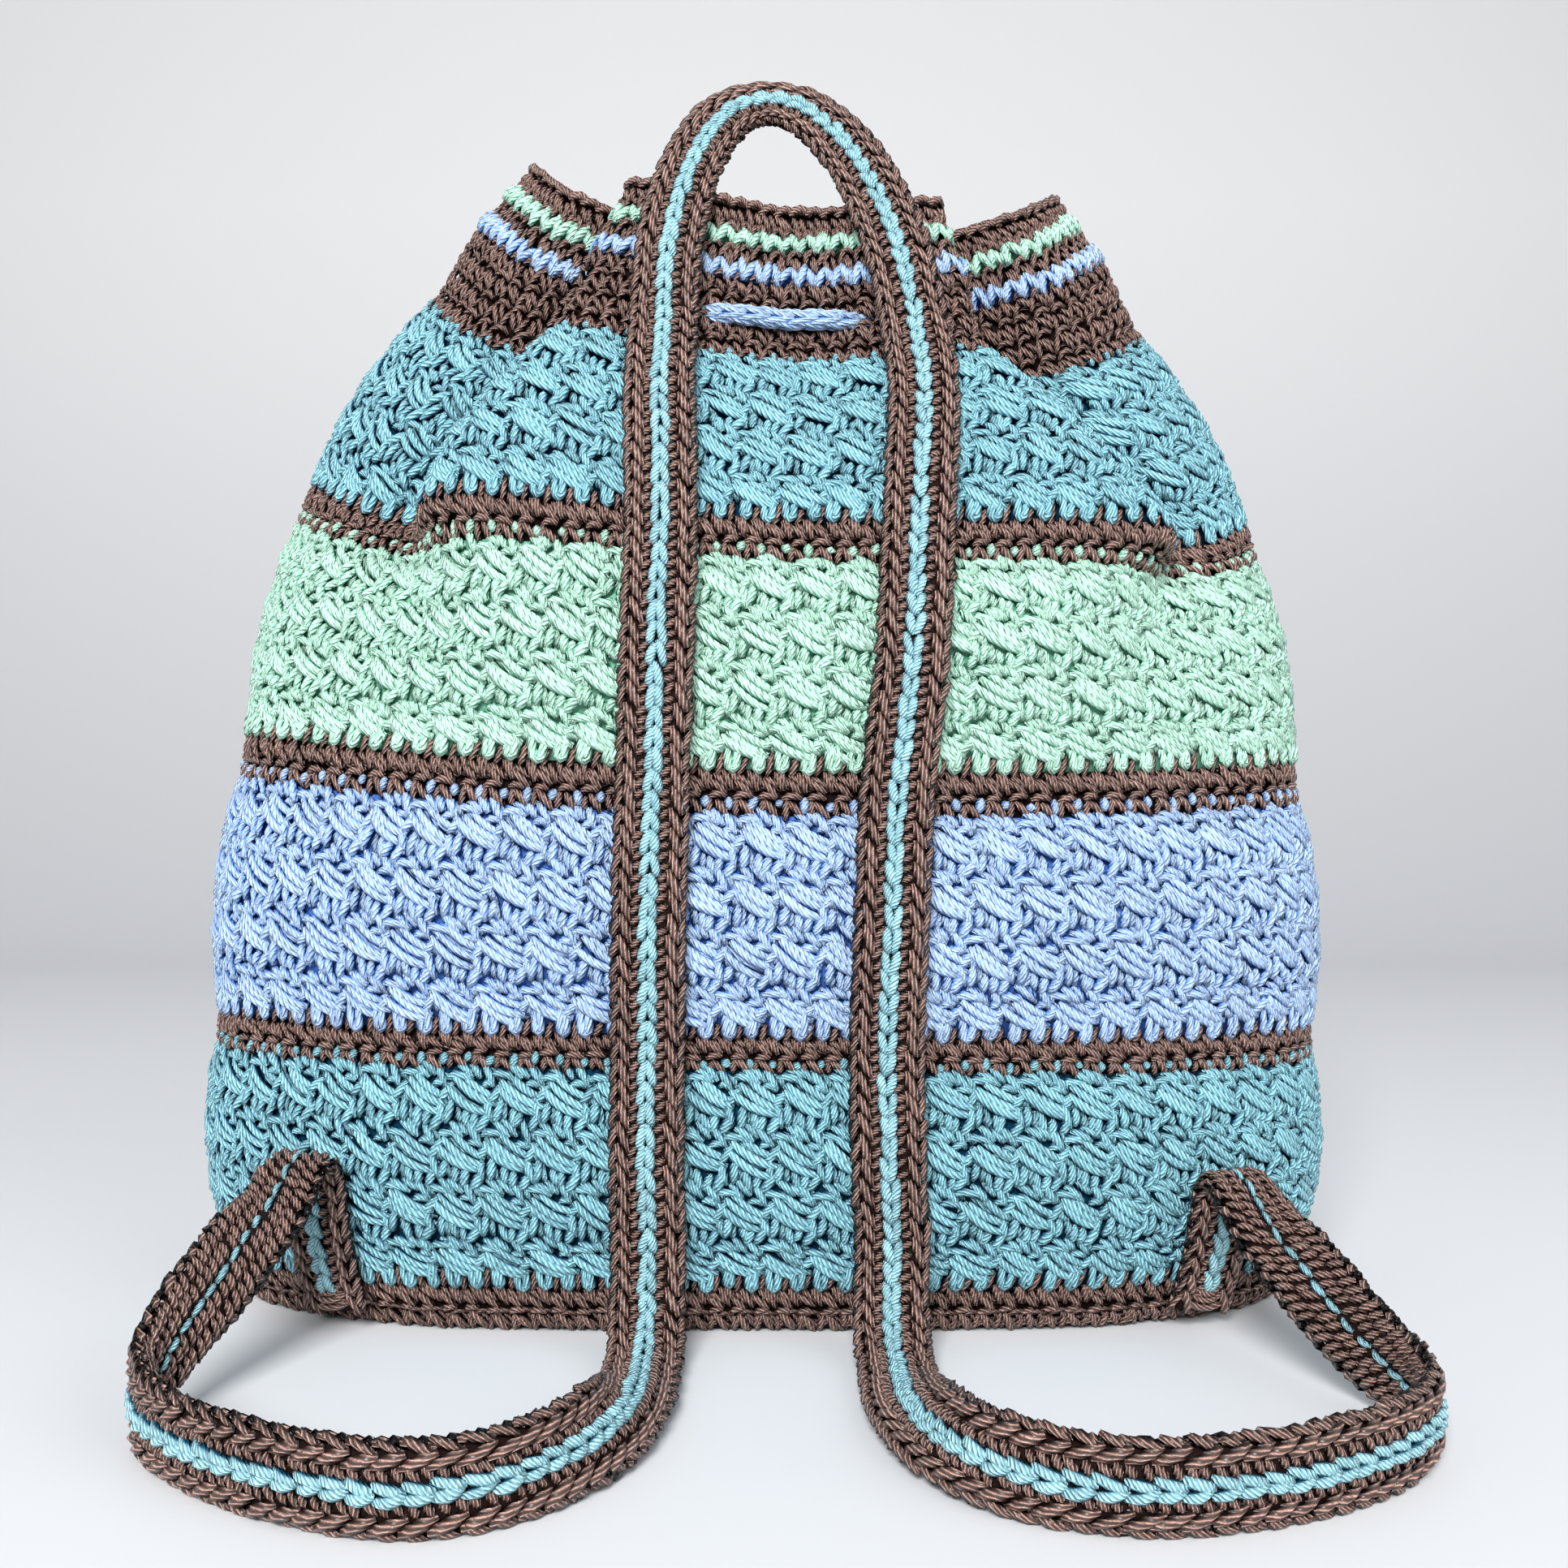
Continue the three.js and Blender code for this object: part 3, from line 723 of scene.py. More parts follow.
    def fabric(self, u: Array, v: Array, out: Array | float) -> Array:
        """Wall points with puff and slouch.

        Args:
            u: Shares of the way round.
            v: Levels counted in edges.
            out: Distances out of the wall.

        Returns:
            The profile moved out by 4t(1-t) of the band's puff and by out, then drifted sideways with the
            square of its height and turned down on the side that it leans to.
        """
        band = np.minimum(v.astype(int), len(self.puffs) - 1)
        t = v - v.astype(int)
        swell = 4 * t * (1 - t) * self.puffs[band] + out
        p = self.profile(u, v) + self.outward(u, v) * swell[:, None]
        drift = self.slouch * (p[:, 2] / self.slouch_height) ** 2
        tilt = 2 * self.slouch * p[:, 2] / self.slouch_height**2
        return np.stack([p[:, 0] + drift, p[:, 1], p[:, 2] - tilt * p[:, 0]], -1)

    def sample(self, a: Array, h: Array) -> tuple[Array, Array]:
        """Wall by length, for stitches of one size.

        Args:
            a: Shares of the girth, from the middle of the strap side.
            h: Lengths up the middle of the strap side.

        Returns:
            Points and outward directions, blended from the four nearest entries of the table.
        """
        row = np.interp(h, self.heights, np.arange(len(self.heights)))
        column = np.mod(a, 1.0) * self.around
        i, j = np.minimum(row.astype(int), len(self.heights) - 2), column.astype(int)
        up, on = (row - i)[..., None], (column - j)[..., None]
        low = self.table[i, j] * (1 - on) + self.table[i, j + 1] * on
        high = self.table[i + 1, j] * (1 - on) + self.table[i + 1, j + 1] * on
        both = low * (1 - up) + high * up
        return both[..., :3], unit(both[..., 3:])

    def girth(self, h: float) -> float:
        """Length around the bag at a height."""
        return float(np.interp(h, self.heights, self.girths))


Stitch = tuple[Strand, ...]

# Stitches of the bag: points across and up as shares of one repeat, and out in mm
LEAF = (
    Strand(((-0.04, 0.66, 0.4), (0.22, 0.46, 1.0), (0.5, 0.3, 1.1), (0.9, 0.18, 0.4)), Lie.OVER, 1.3),
    Strand(((0.08, 0.76, 0.4), (0.35, 0.56, 1.05), (0.64, 0.4, 1.0), (0.98, 0.3, 0.2)), Lie.OVER, 1.3),
    Strand(((0.24, 0.83, 0.2), (0.5, 0.66, 0.9), (0.76, 0.53, 0.7), (0.98, 0.46, 0.0)), Lie.OVER, 1.2),
    Strand(((-0.12, 0.8, -0.1), (0.05, 0.86, 0.6), (0.28, 0.84, 0.8), (0.46, 0.74, 0.4)), Lie.LEG, 1.2),
    Strand(((0.14, 1.0, -0.2), (0.33, 0.92, 0.7), (0.52, 0.77, 0.5)), Lie.LEG, 1.2),
    Strand(((0.36, 1.04, -0.2), (0.5, 0.94, 0.6), (0.65, 0.8, 0.3)), Lie.LEG, 1.2),
    Strand(((0.63, 1.02, -0.2), (0.79, 0.84, 0.7), (0.94, 0.65, 0.2)), Lie.LEG, 1.25),
    Strand(((0.6, 0.65, 0.2), (0.76, 0.72, 0.7), (0.92, 0.65, 0.1)), Lie.LEG, 1.2),
    Strand(((0.80, 0.36, -0.2), (0.94, 0.51, 0.7), (1.08, 0.66, -0.1)), Lie.LEG, 1.35),
    Strand(((0.02, 0.71, -0.3), (0.29, 0.51, 0.4), (0.57, 0.35, 0.4), (0.94, 0.24, -0.3)), Lie.UNDER, 1.2),
    Strand(((0.16, 0.8, -0.3), (0.43, 0.61, 0.4), (0.7, 0.46, 0.3), (0.98, 0.38, -0.3)), Lie.UNDER, 1.2),
    Strand(((-0.06, 0.58, -0.4), (0.08, 0.44, 0.2), (0.22, 0.34, -0.2)), Lie.UNDER, 1.4),
    Strand(((0.8, 0.92, -0.4), (0.95, 0.82, 0.2), (1.05, 0.7, -0.2)), Lie.UNDER, 1.4),
)

LEGS = (
    Strand(((-0.14, 0.42, -0.2), (-0.11, 0.24, 0.9), (-0.04, 0.03, 0.0)), Lie.LEG, 1.3),
    Strand(((0.12, 0.4, -0.2), (0.1, 0.21, 0.9), (0.05, 0.02, 0.0)), Lie.LEG, 1.3),
    Strand(((0.22, 0.33, -0.4), (0.26, 0.17, 0.4), (0.27, -0.02, -0.3)), Lie.UNDER, 1.3),
    Strand(((0.37, 0.27, -0.2), (0.4, 0.1, 0.9), (0.44, -0.08, -0.1)), Lie.LEG, 1.3),
    Strand(((0.61, 0.21, -0.2), (0.59, 0.06, 0.9), (0.54, -0.1, -0.1)), Lie.LEG, 1.3),
    Strand(((0.69, -0.13, -0.2), (0.81, 0.03, 0.8), (0.94, 0.21, -0.1)), Lie.LEG, 1.4),
)

DRIPS = tuple(
    Strand(
        (
            (x - 0.06, 0.52, 0.0),
            (x - 0.075, 0.24, 1.1),
            (x - 0.045, 0.07, 1.1),
            (x + 0.045, 0.07, 1.1),
            (x + 0.075, 0.24, 1.1),
            (x + 0.06, 0.52, 0.0),
        ),
        Lie.LOOP,
        1.3,
    )
    for x in (0.25, 0.75)
)

STRIPE = (
    Strand(((-0.2, 0.86, -0.2), (-0.07, 1.1, 0.4), (0.05, 1.36, -0.4)), Lie.LEG, 1.0),
    Strand(((0.14, 0.96, 0.0), (0.34, 0.78, 0.7), (0.55, 0.56, 0.2)), Lie.LEG, 1.1),
    Strand(((0.32, 1.0, -0.1), (0.5, 0.84, 0.6), (0.68, 0.64, 0.2)), Lie.LEG, 1.05),
    Strand(((0.58, 0.76, 0.3), (0.9, 0.64, 0.9), (1.26, 0.48, 0.2)), Lie.LEG, 1.1),
    Strand(((0.7, 0.86, -0.1), (1.0, 0.76, 0.4), (1.3, 0.6, -0.1)), Lie.LEG, 1.0),
    Strand(((0.56, 0.36, 0.2), (0.9, 0.46, 0.8), (1.26, 0.4, 0.2)), Lie.LEG, 1.1),
    Strand(((0.7, 0.32, 0.1), (0.67, 0.14, 0.55), (0.64, -0.04, -0.2)), Lie.LEG, 0.95),
    Strand(((0.82, 0.32, 0.2), (1.1, 0.16, 0.7), (1.38, -0.04, -0.2)), Lie.LEG, 1.15),
    Strand(((0.0, 0.6, -0.5), (0.5, 0.62, -0.3), (1.0, 0.6, -0.5)), Lie.UNDER, 1.1),
)

BEAD = (Strand(((0.35, 0.12, 0.1), (0.38, 0.23, 0.7), (0.42, 0.34, 0.1)), Lie.LEG, 1.25),)

KNOTTED = (
    Strand(((-0.06, 0.7, 0.2), (0.3, 1.0, 0.8), (0.74, 0.86, 0.3)), Lie.LEG, 0.95),
    Strand(((0.1, 0.62, 0.3), (0.34, 0.36, 0.8), (0.62, 0.02, 0.0)), Lie.LEG, 0.95),
    Strand(((0.36, 0.76, 0.2), (0.6, 0.5, 0.7), (0.86, 0.2, 0.1)), Lie.LEG, 0.85),
    Strand(((0.98, 0.66, 0.0), (0.88, 0.3, 0.5), (0.74, -0.02, -0.1)), Lie.LEG, 0.85),
    Strand(((0.0, 0.3, -0.7), (0.5, 0.34, -0.4), (1.0, 0.3, -0.7)), Lie.UNDER, 0.9),
)

COLOURED = (
    Strand(((0.06, 0.94, 0.3), (0.27, 0.42, 1.2), (0.5, -0.14, 0.5)), Lie.LEG, 1.35),
    Strand(((0.92, 0.92, 0.3), (0.76, 0.4, 1.2), (0.56, -0.14, 0.5)), Lie.LEG, 1.35),
    Strand(((0.36, 0.5, 0.6), (0.48, 0.2, 1.3), (0.54, -0.2, 0.6)), Lie.LEG, 1.2),
)

FILLED = (
    Strand(((-0.1, 0.3, 0.2), (0.25, 0.8, 0.7), (0.7, 0.55, 0.3)), Lie.LEG, 0.95),
    Strand(((0.15, 0.3, 0.2), (0.36, -0.02, 0.7), (0.5, -0.46, 0.2)), Lie.LEG, 0.9),
    Strand(((0.42, 0.4, 0.2), (0.58, 0.0, 0.7), (0.58, -0.42, 0.2)), Lie.LEG, 0.85),
    Strand(((0.98, 0.7, 0.0), (0.9, 0.34, 0.5), (0.8, 0.0, 0.0)), Lie.LEG, 0.9),
)

CHAINED = (
    Strand(((-0.15, 0.72, 0.7), (0.3, 0.92, 1.2), (0.8, 0.94, 0.9), (1.2, 0.76, 0.1)), Lie.OVER, 1.1),
    Strand(((-0.15, 1.0, -0.4), (0.3, 1.14, -0.6), (0.8, 1.12, -1.0), (1.2, 0.98, -1.4)), Lie.OVER, 1.1),
    Strand(((-0.1, 0.98, -2.4), (0.5, 1.06, -2.7), (1.1, 0.98, -2.9)), Lie.LEG, 1.2),
    Strand(((-0.05, 0.72, -4.0), (0.5, 0.82, -4.3), (1.05, 0.72, -4.0)), Lie.LEG, 1.2),
    Strand(((0.0, 0.6, 0.2), (0.3, 0.36, 0.9), (0.62, 0.1, 0.2)), Lie.LEG, 1.05),
    Strand(((0.5, 0.62, 0.1), (0.7, 0.4, 0.8), (0.98, 0.2, 0.1)), Lie.LEG, 1.0),
    Strand(((0.05, 0.26, 0.0), (0.32, 0.06, 0.7), (0.5, -0.26, 0.2)), Lie.LEG, 0.95),
    Strand(((0.72, 0.24, 0.0), (0.62, 0.0, 0.7), (0.58, -0.24, 0.2)), Lie.LEG, 0.85),
    Strand(((0.98, 0.26, 0.0), (0.96, 0.1, 0.5), (0.9, -0.06, 0.0)), Lie.LEG, 0.9),
)


# Bands from the base to the mouth: each lies between the wall's edge of its number and the next
BANDS = (
    "base_panel",
    "lower_teal_band",
    "lower_brown_stripe",
    "blue_band",
    "middle_brown_stripe",
    "mint_band",
    "upper_brown_stripe",
    "upper_teal_band",
    "collar",
    "collar_blue_round",
    "collar_brown_round",
    "collar_mint_round",
    "mouth_edging",
)


@dataclass
class CrochetBand:
    """One band of the bag: a closed ground with stitches worked over it.

    Without a stitch count of its own, it has as many repeats of its width as fit round its middle.
    """

    form: BagForm
    node: str
    yarn: Yarn
    stitches: int = 0
    width: float = 11.7
    ground: float = -1.3
    columns: int = 120
    ground_rows: int = 2
    jitter: float = 0.3
    out_jitter: float = 0.5
    seam: float = 0.05
    seed: int = 40

    def __post_init__(self) -> None:
        """Finds the band's level, its heights and its stitch count."""
        self.level = BANDS.index(self.node)
        self.low, self.high = self.form.seams[self.level], self.form.seams[self.level + 1]
        self.count = self.stitches or round(self.form.girth((self.low + self.high) / 2) / self.width)
        self.mesh = CrochetMesh(f"{self.node}_crochet", self.seed + self.level)

    def work_round(
        self, stitch: Stitch, low: float, height: float, shift: float = 0.0, count: int = 0
    ) -> None:
        """Works one round of stitches, whose strands wander a little.

        Args:
            stitch: Strands of one repeat.
            low: Height of the round's lower edge.
            height: Height that the strands' shares count in.
            shift: How far the round is moved sideways, in repeats.
            count: Repeats around, or 0 for the band's own.
        """
        many = count or self.count
        girth = self.form.girth(low)
        for strand in stitch:
            line = strand.line()
            loose = self.mesh.wander(self.jitter, many, len(line))
            a = (np.arange(many)[:, None] + line[:, 0] + shift) / many + loose[0] / girth
            points, normals = self.form.sample(a, low + height * line[:, 1] + loose[1])
            out = line[:, 2] + self.out_jitter * loose[2]
            self.mesh.tubes(points + normals * out[..., None], normals, strand.radius, strand.lie)

    def lay_ground(self) -> None:
        """Lays the closed ground: up the outside under the stitches, over the top and down the inside."""
        a = np.arange(self.columns) / self.columns
        h = np.linspace(self.low + self.seam, self.high - self.seam, self.ground_rows)
        points, normals = self.form.sample(*np.meshgrid(a, h))
        outer = self.mesh.vertices(points + normals * self.ground)
        inner = self.mesh.vertices((points - normals * self.form.wall)[::-1])
        # The outer ground, its rim and its hem take the gap material, dark with painted shade
        self.mesh.quads(outer, GROUND_BOX, Face.GAP)
        self.mesh.quads(np.stack([outer[-1], inner[0]]), RIM_BOX, Face.GAP)
        rows = (self.high - self.low) / LINING_ROW_HEIGHT / LINING_ROWS
        self.mesh.quads(inner, (0, 0, 1, rows), Face.LINING)
        self.mesh.quads(np.stack([inner[-1], outer[0]]), HEM_BOX, Face.GAP)

    def build(self) -> bpy.types.Object:
        """Lays the ground, works the stitches and writes the piece."""
        self.lay_ground()
        self.work()
        return self.mesh.build(self.yarn, self.node)

    def work(self) -> None:
        """Works the band's stitches."""
        raise NotImplementedError


@dataclass
class LeafBand(CrochetBand):
    """Band of raised stitches: rounds of slanting leaves with upright legs, over drips at its lower edge.

    Its last loops show as beads in the piece above, which has its own stitch count. The rounds start and end
    a little past the band's edges, and the lowest is drawn together about a level, clear of the drips.
    """

    ground: float = -0.8
    ground_rows: int = 4
    jitter: float = 0.42
    rows: int = 4
    drift: float = 0.13
    clear: float = 0.0
    lift: float = 0.0
    beads: int = 0
    bead_height: float = 9.0
    past_top: float = 0.4
    below: float = 0.05
    settled_share: float = 0.86
    settled_level: float = 0.66

    def work(self) -> None:
        """Works the drips, the settled lowest round and the rounds above it, each drifting to the right."""
        low, top = self.low + self.lift, self.high - self.clear
        pitch = (top - low + self.past_top) / (self.rows - self.below)
        start = low - self.below * pitch
        settled = tuple(strand.settled(self.settled_share, self.settled_level) for strand in LEAF)
        self.work_round(DRIPS, start, pitch)
        self.work_round(settled, start, pitch)
        for row in range(1, self.rows):
            self.work_round(LEAF + LEGS, start + row * pitch, pitch, self.drift * row)
        self.work_round(BEAD, top, self.bead_height, 0.0, self.beads)


@dataclass
class StripeBand(CrochetBand):
    """Brown stripe: one knotted round whose legs close round the beads of the band below."""

    def work(self) -> None:
        """Works the one round."""
        self.work_round(STRIPE, self.low, self.high - self.low)


@dataclass
class RoundsBand(CrochetBand):
    """Plain rounds of one stitch."""

    jitter: float = 0.4
    stitch: Stitch = KNOTTED
    rounds: int = 1
    drift: float = 0.3
    reach: float = 0.0
    over: float = 0.0

    def work(self) -> None:
        """Works the rounds from below the lower edge to over the upper one, each drifting by a share."""
        low = self.low - self.reach
        height = (self.high + self.over - low) / self.rounds
        for row in range(self.rounds):
            self.work_round(self.stitch, low + row * height, height, self.drift * (row + 1 - self.rounds))


@dataclass
class BasePanel(StripeBand):
    """Oval bottom with its turned-up edge."""

    clear: float = 1.1
    reach: float = 2.6
    knotted_height: float = 5.0
    ground_rows: int = 4
    bottom_rows: int = 9
    middle_share: float = 0.03
    bottom_height: float = 0.3

    def work(self) -> None:
        """Works a sunk knotted round, in the painted shade of strands underneath, clear of the floor, and the
        stripe's round over it up past the edge.
        """
        start = self.low + self.clear
        # Strands underneath, which take the darker tint rows as painted shade
        sunk = tuple(Strand(strand.points, Lie.UNDER, strand.radius) for strand in KNOTTED)
        self.work_round(sunk, start, self.knotted_height)
        self.work_round(STRIPE, start, self.high + self.reach - start)

    def lay_ground(self) -> None:
        """Lays the tray: from the middle of the bottom out, up the side, and in over the floor inside.

        The bottom and the floor inside are the lowest rings of the walls, shrunk towards the middle.
        """
        a = np.arange(self.columns) / self.columns
        h = np.linspace(self.low, self.high - self.seam, self.ground_rows)
        points, normals = self.form.sample(*np.meshgrid(a, h))
        side = points + normals * self.ground
        inside = (points - normals * self.form.wall)[::-1]
        shrink = np.linspace(self.middle_share, 1, self.bottom_rows)[:, None, None]
        bottom = side[0] * shrink * [1, 1, 0] + [0, 0, self.bottom_height]
        floor = inside[-1] * shrink[::-1] * [1, 1, 0] + [0, 0, self.form.wall]
        under = self.mesh.sheet(bottom, UNDERSIDE_BOX, Face.LINING)
        wall = self.mesh.vertices(np.concatenate([side[1:], inside[:-1]]))
        over = self.mesh.vertices(floor)
        self.mesh.quads(np.concatenate([under[-1:], wall, over[:1]]), GROUND_BOX, Face.GAP)
        self.mesh.quads(over, INNER_FLOOR_BOX, Face.LINING)
        self.mesh.lid(under[0][::-1], LOW_LID, Face.LINING)
        self.mesh.lid(over[-1], HIGH_LID, Face.LINING)


@dataclass
class Strip:
    """Path of a strip of crochet: stations with a point and the direction across.

    The direction across is as long as the strip's share of its full width there. The table runs on straight
    past both ends, so that the stitches of two strips can meet.
    """

    points: Array
    across: Array
    samples: int = 1800
    past_end: float = 5.0

    def __post_init__(self) -> None:
        """Makes the table of middle line, across and face by length."""
        share = np.linspace(0, 1, self.samples)
        path = open_curve(self.points, share, CENTRIPETAL)
        along = unit(np.gradient(path, axis=0))
        across = open_curve(self.across, share, UNIFORM)
        size = np.linalg.norm(across, axis=-1, keepdims=True)
        across = unit(across - along * np.sum(across * along, -1, keepdims=True))
        run = lengths_along(path)
        table = np.concatenate([path, across * size, unit(np.cross(across, along))], -1)
        before, after = table[:1].copy(), table[-1:].copy()
        before[:, :3] -= self.past_end * along[:1]
        after[:, :3] += self.past_end * along[-1:]
        self.length = run[-1]
        self.run = np.concatenate([[-self.past_end], run, [run[-1] + self.past_end]])
        self.table = np.concatenate([before, table, after])

    def place(self, s: Array, w: Array, n: Array) -> tuple[Array, Array]:
        """Points at lengths s along, w across and n out of the face.

        Args:
            s: Lengths along the middle line.
            w: Distances across.
            n: Distances out of the face.

        Returns:
            Middle line plus across times w plus face times n, and the face directions.
        """
        index = np.interp(s, self.run, np.arange(len(self.run)))
        i = np.minimum(index.astype(int), len(self.run) - 2)
        row = self.table[i] + (index - i)[..., None] * (self.table[i + 1] - self.table[i])
        return row[..., :3] + row[..., 3:6] * w[..., None] + row[..., 6:] * n[..., None], row[..., 6:]


# Stitches of the straps: mm across, share of a stitch along, and mm out of the middle plane
PLAIT = (
    Strand(((-8.5, -0.45, 0.3), (-7.9, 0.05, 1.3), (-6.8, 0.55, 1.4)), Lie.LEG, 1.0),
    Strand(((-6.6, 0.72, 1.5), (-5.4, 0.08, 2.2), (-3.9, -0.6, 1.3)), Lie.LEG, 1.25),
    Strand(((-4.1, -0.3, 1.1), (-3.0, -0.1, 1.8), (-1.8, 0.08, 1.2)), Lie.LEG, 1.05),
    Strand(((-4.1, 0.2, 1.1), (-3.0, 0.4, 1.8), (-1.8, 0.58, 1.2)), Lie.LEG, 1.05),
    Strand(((1.8, -0.2, 1.2), (3.0, -0.08, 1.8), (4.4, 0.04, 1.2)), Lie.LEG, 1.05),
    Strand(((1.8, 0.24, 1.2), (3.0, 0.44, 1.8), (4.4, 0.62, 1.2)), Lie.LEG, 1.05),
    Strand(((4.6, 0.72, 1.4), (6.0, 0.0, 2.2), (7.3, -0.6, 1.3)), Lie.LEG, 1.3),
    Strand(((7.0, -0.5, 1.4), (7.9, 0.0, 1.3), (8.5, 0.5, 0.3)), Lie.LEG, 1.0),
    Strand(((-7.8, -0.55, 0.5), (-8.1, 0.0, 0.0), (-7.6, 0.55, -0.6)), Lie.LEG, 1.25),
    Strand(((7.8, -0.55, 0.5), (8.1, 0.0, 0.0), (7.6, 0.55, -0.6)), Lie.LEG, 1.25),
) + tuple(
    Strand(((x - 1.7, y - 0.22, -1.1), (x, y, -2.0), (x + 1.7, y + 0.22, -1.1)), Lie.LEG, 1.1)
    for x in (-5.8, -2.5, 2.5, 5.8)
    for y in (-0.25, 0.25)
)

CHAIN = (
    Strand(((-1.5, -0.6, 1.2), (-1.05, -0.05, 2.5), (-0.12, 0.54, 1.6)), Lie.OVER, 1.3),
    Strand(((1.5, -0.6, 1.2), (1.05, -0.05, 2.5), (0.12, 0.54, 1.6)), Lie.OVER, 1.3),
    Strand(((0.1, -0.42, -1.4), (-0.1, 0.0, -2.4), (0.1, 0.42, -1.4)), Lie.LEG, 0.85),
)

# Strands that bow across a sewn end: mm across, along and out of the middle plane
TAB_END = tuple(
    Strand(
        (
            (-half, place + 1.4, 1.1),
            (-half / 2, place, 1.9),
            (0.0, place - 0.4, 2.0),
            (half / 2, place, 1.9),
            (half, place + 1.4, 1.1),
        ),
        Lie.LOOP,
        1.1,
    )
    for half, place in ((6.6, 0.6), (5.0, 2.5), (3.6, 4.4))
)


@dataclass
class CrochetStrap:
    """Strap or handle: a strip of plaits on both sides of a teal chain."""

    node: str
    strip: Strip
    seed: int
    heading: int = 1
    stitch: float = 5.0
    chain_start: float = 0.0
    half_width: float = 6.8
    half_thickness: float = 1.4
    ground_steps: int = 170
    ground_corners: int = 10
    squareness: float = 0.5
    lap: float = 1.2
    jitter: float = 0.24
    out_jitter: float = 0.6

    def work(self, mesh: CrochetMesh, stitch: Stitch, start: float, heading: int) -> None:
        """Works one column of stitches along the strip, lapping past both its ends.

        Args:
            mesh: Mesh that takes the strands.
            stitch: Strands of one stitch: mm across, share of a stitch along, mm out of the middle plane.
            start: Length at which the column starts.
            heading: 1 if the stitches point along the strip, -1 if they point back.
        """
        first, last = start - self.lap, self.strip.length + self.lap
        count = round((last - first) / self.stitch)
        pitch = (last - first) / count
        for strand in stitch:
            line = strand.line()
            loose = mesh.wander(self.jitter, count, len(line))
            s = first + pitch * (np.arange(count)[:, None] + 0.5 + heading * line[:, 1]) + loose[0]
            n = line[:, 2] + self.out_jitter * loose[2]
            points, face = self.strip.place(s, line[:, 0] + loose[1], n)
            mesh.tubes(points, face * np.sign(n)[..., None], strand.radius, strand.lie)

    def close_tab(self, mesh: CrochetMesh) -> None:
        """Closes the sewn end below the chain with strands that bow across it, written in mm."""
        for strand in TAB_END:
            across, along, out = strand.line().T
            points, face = self.strip.place(along, across, out)
            mesh.tubes(points[None], face[None], strand.radius, strand.lie)

    def lay_ground(self, mesh: CrochetMesh) -> None:
        """Lays the strip's core: a flattened section carried along, lapping past both closed ends.

        The section is an ellipse whose cosine and sine are drawn out to a power, which squares it.
        """
        cosine, sine = circle(self.ground_corners)
        w = self.half_width * np.sign(cosine) * np.abs(cosine) ** self.squareness
        n = self.half_thickness * np.sign(sine) * np.abs(sine) ** self.squareness
        s = np.linspace(-self.lap, self.strip.length + self.lap, self.ground_steps)
        points, _ = self.strip.place(*np.broadcast_arrays(s[:, None], w, n))
        mesh.core(points[::-1])

    def build(self) -> list[bpy.types.Object]:
        """Builds the strip with its plaits, and its teal chain as a piece of its own."""
        strap = CrochetMesh(f"{self.node}_crochet", self.seed)
        self.lay_ground(strap)
        self.work(strap, PLAIT, 0.0, 1)
        if self.chain_start:
            self.close_tab(strap)
        chain = CrochetMesh(f"{self.node}_chain_crochet", self.seed + 1)
        self.work(chain, CHAIN, self.chain_start, self.heading)
        # The chain takes the lighter teal copy, a painted light
        return [strap.build(Yarn.BROWN, self.node), chain.build(Yarn.LIT_TEAL, f"{self.node}_chain")]


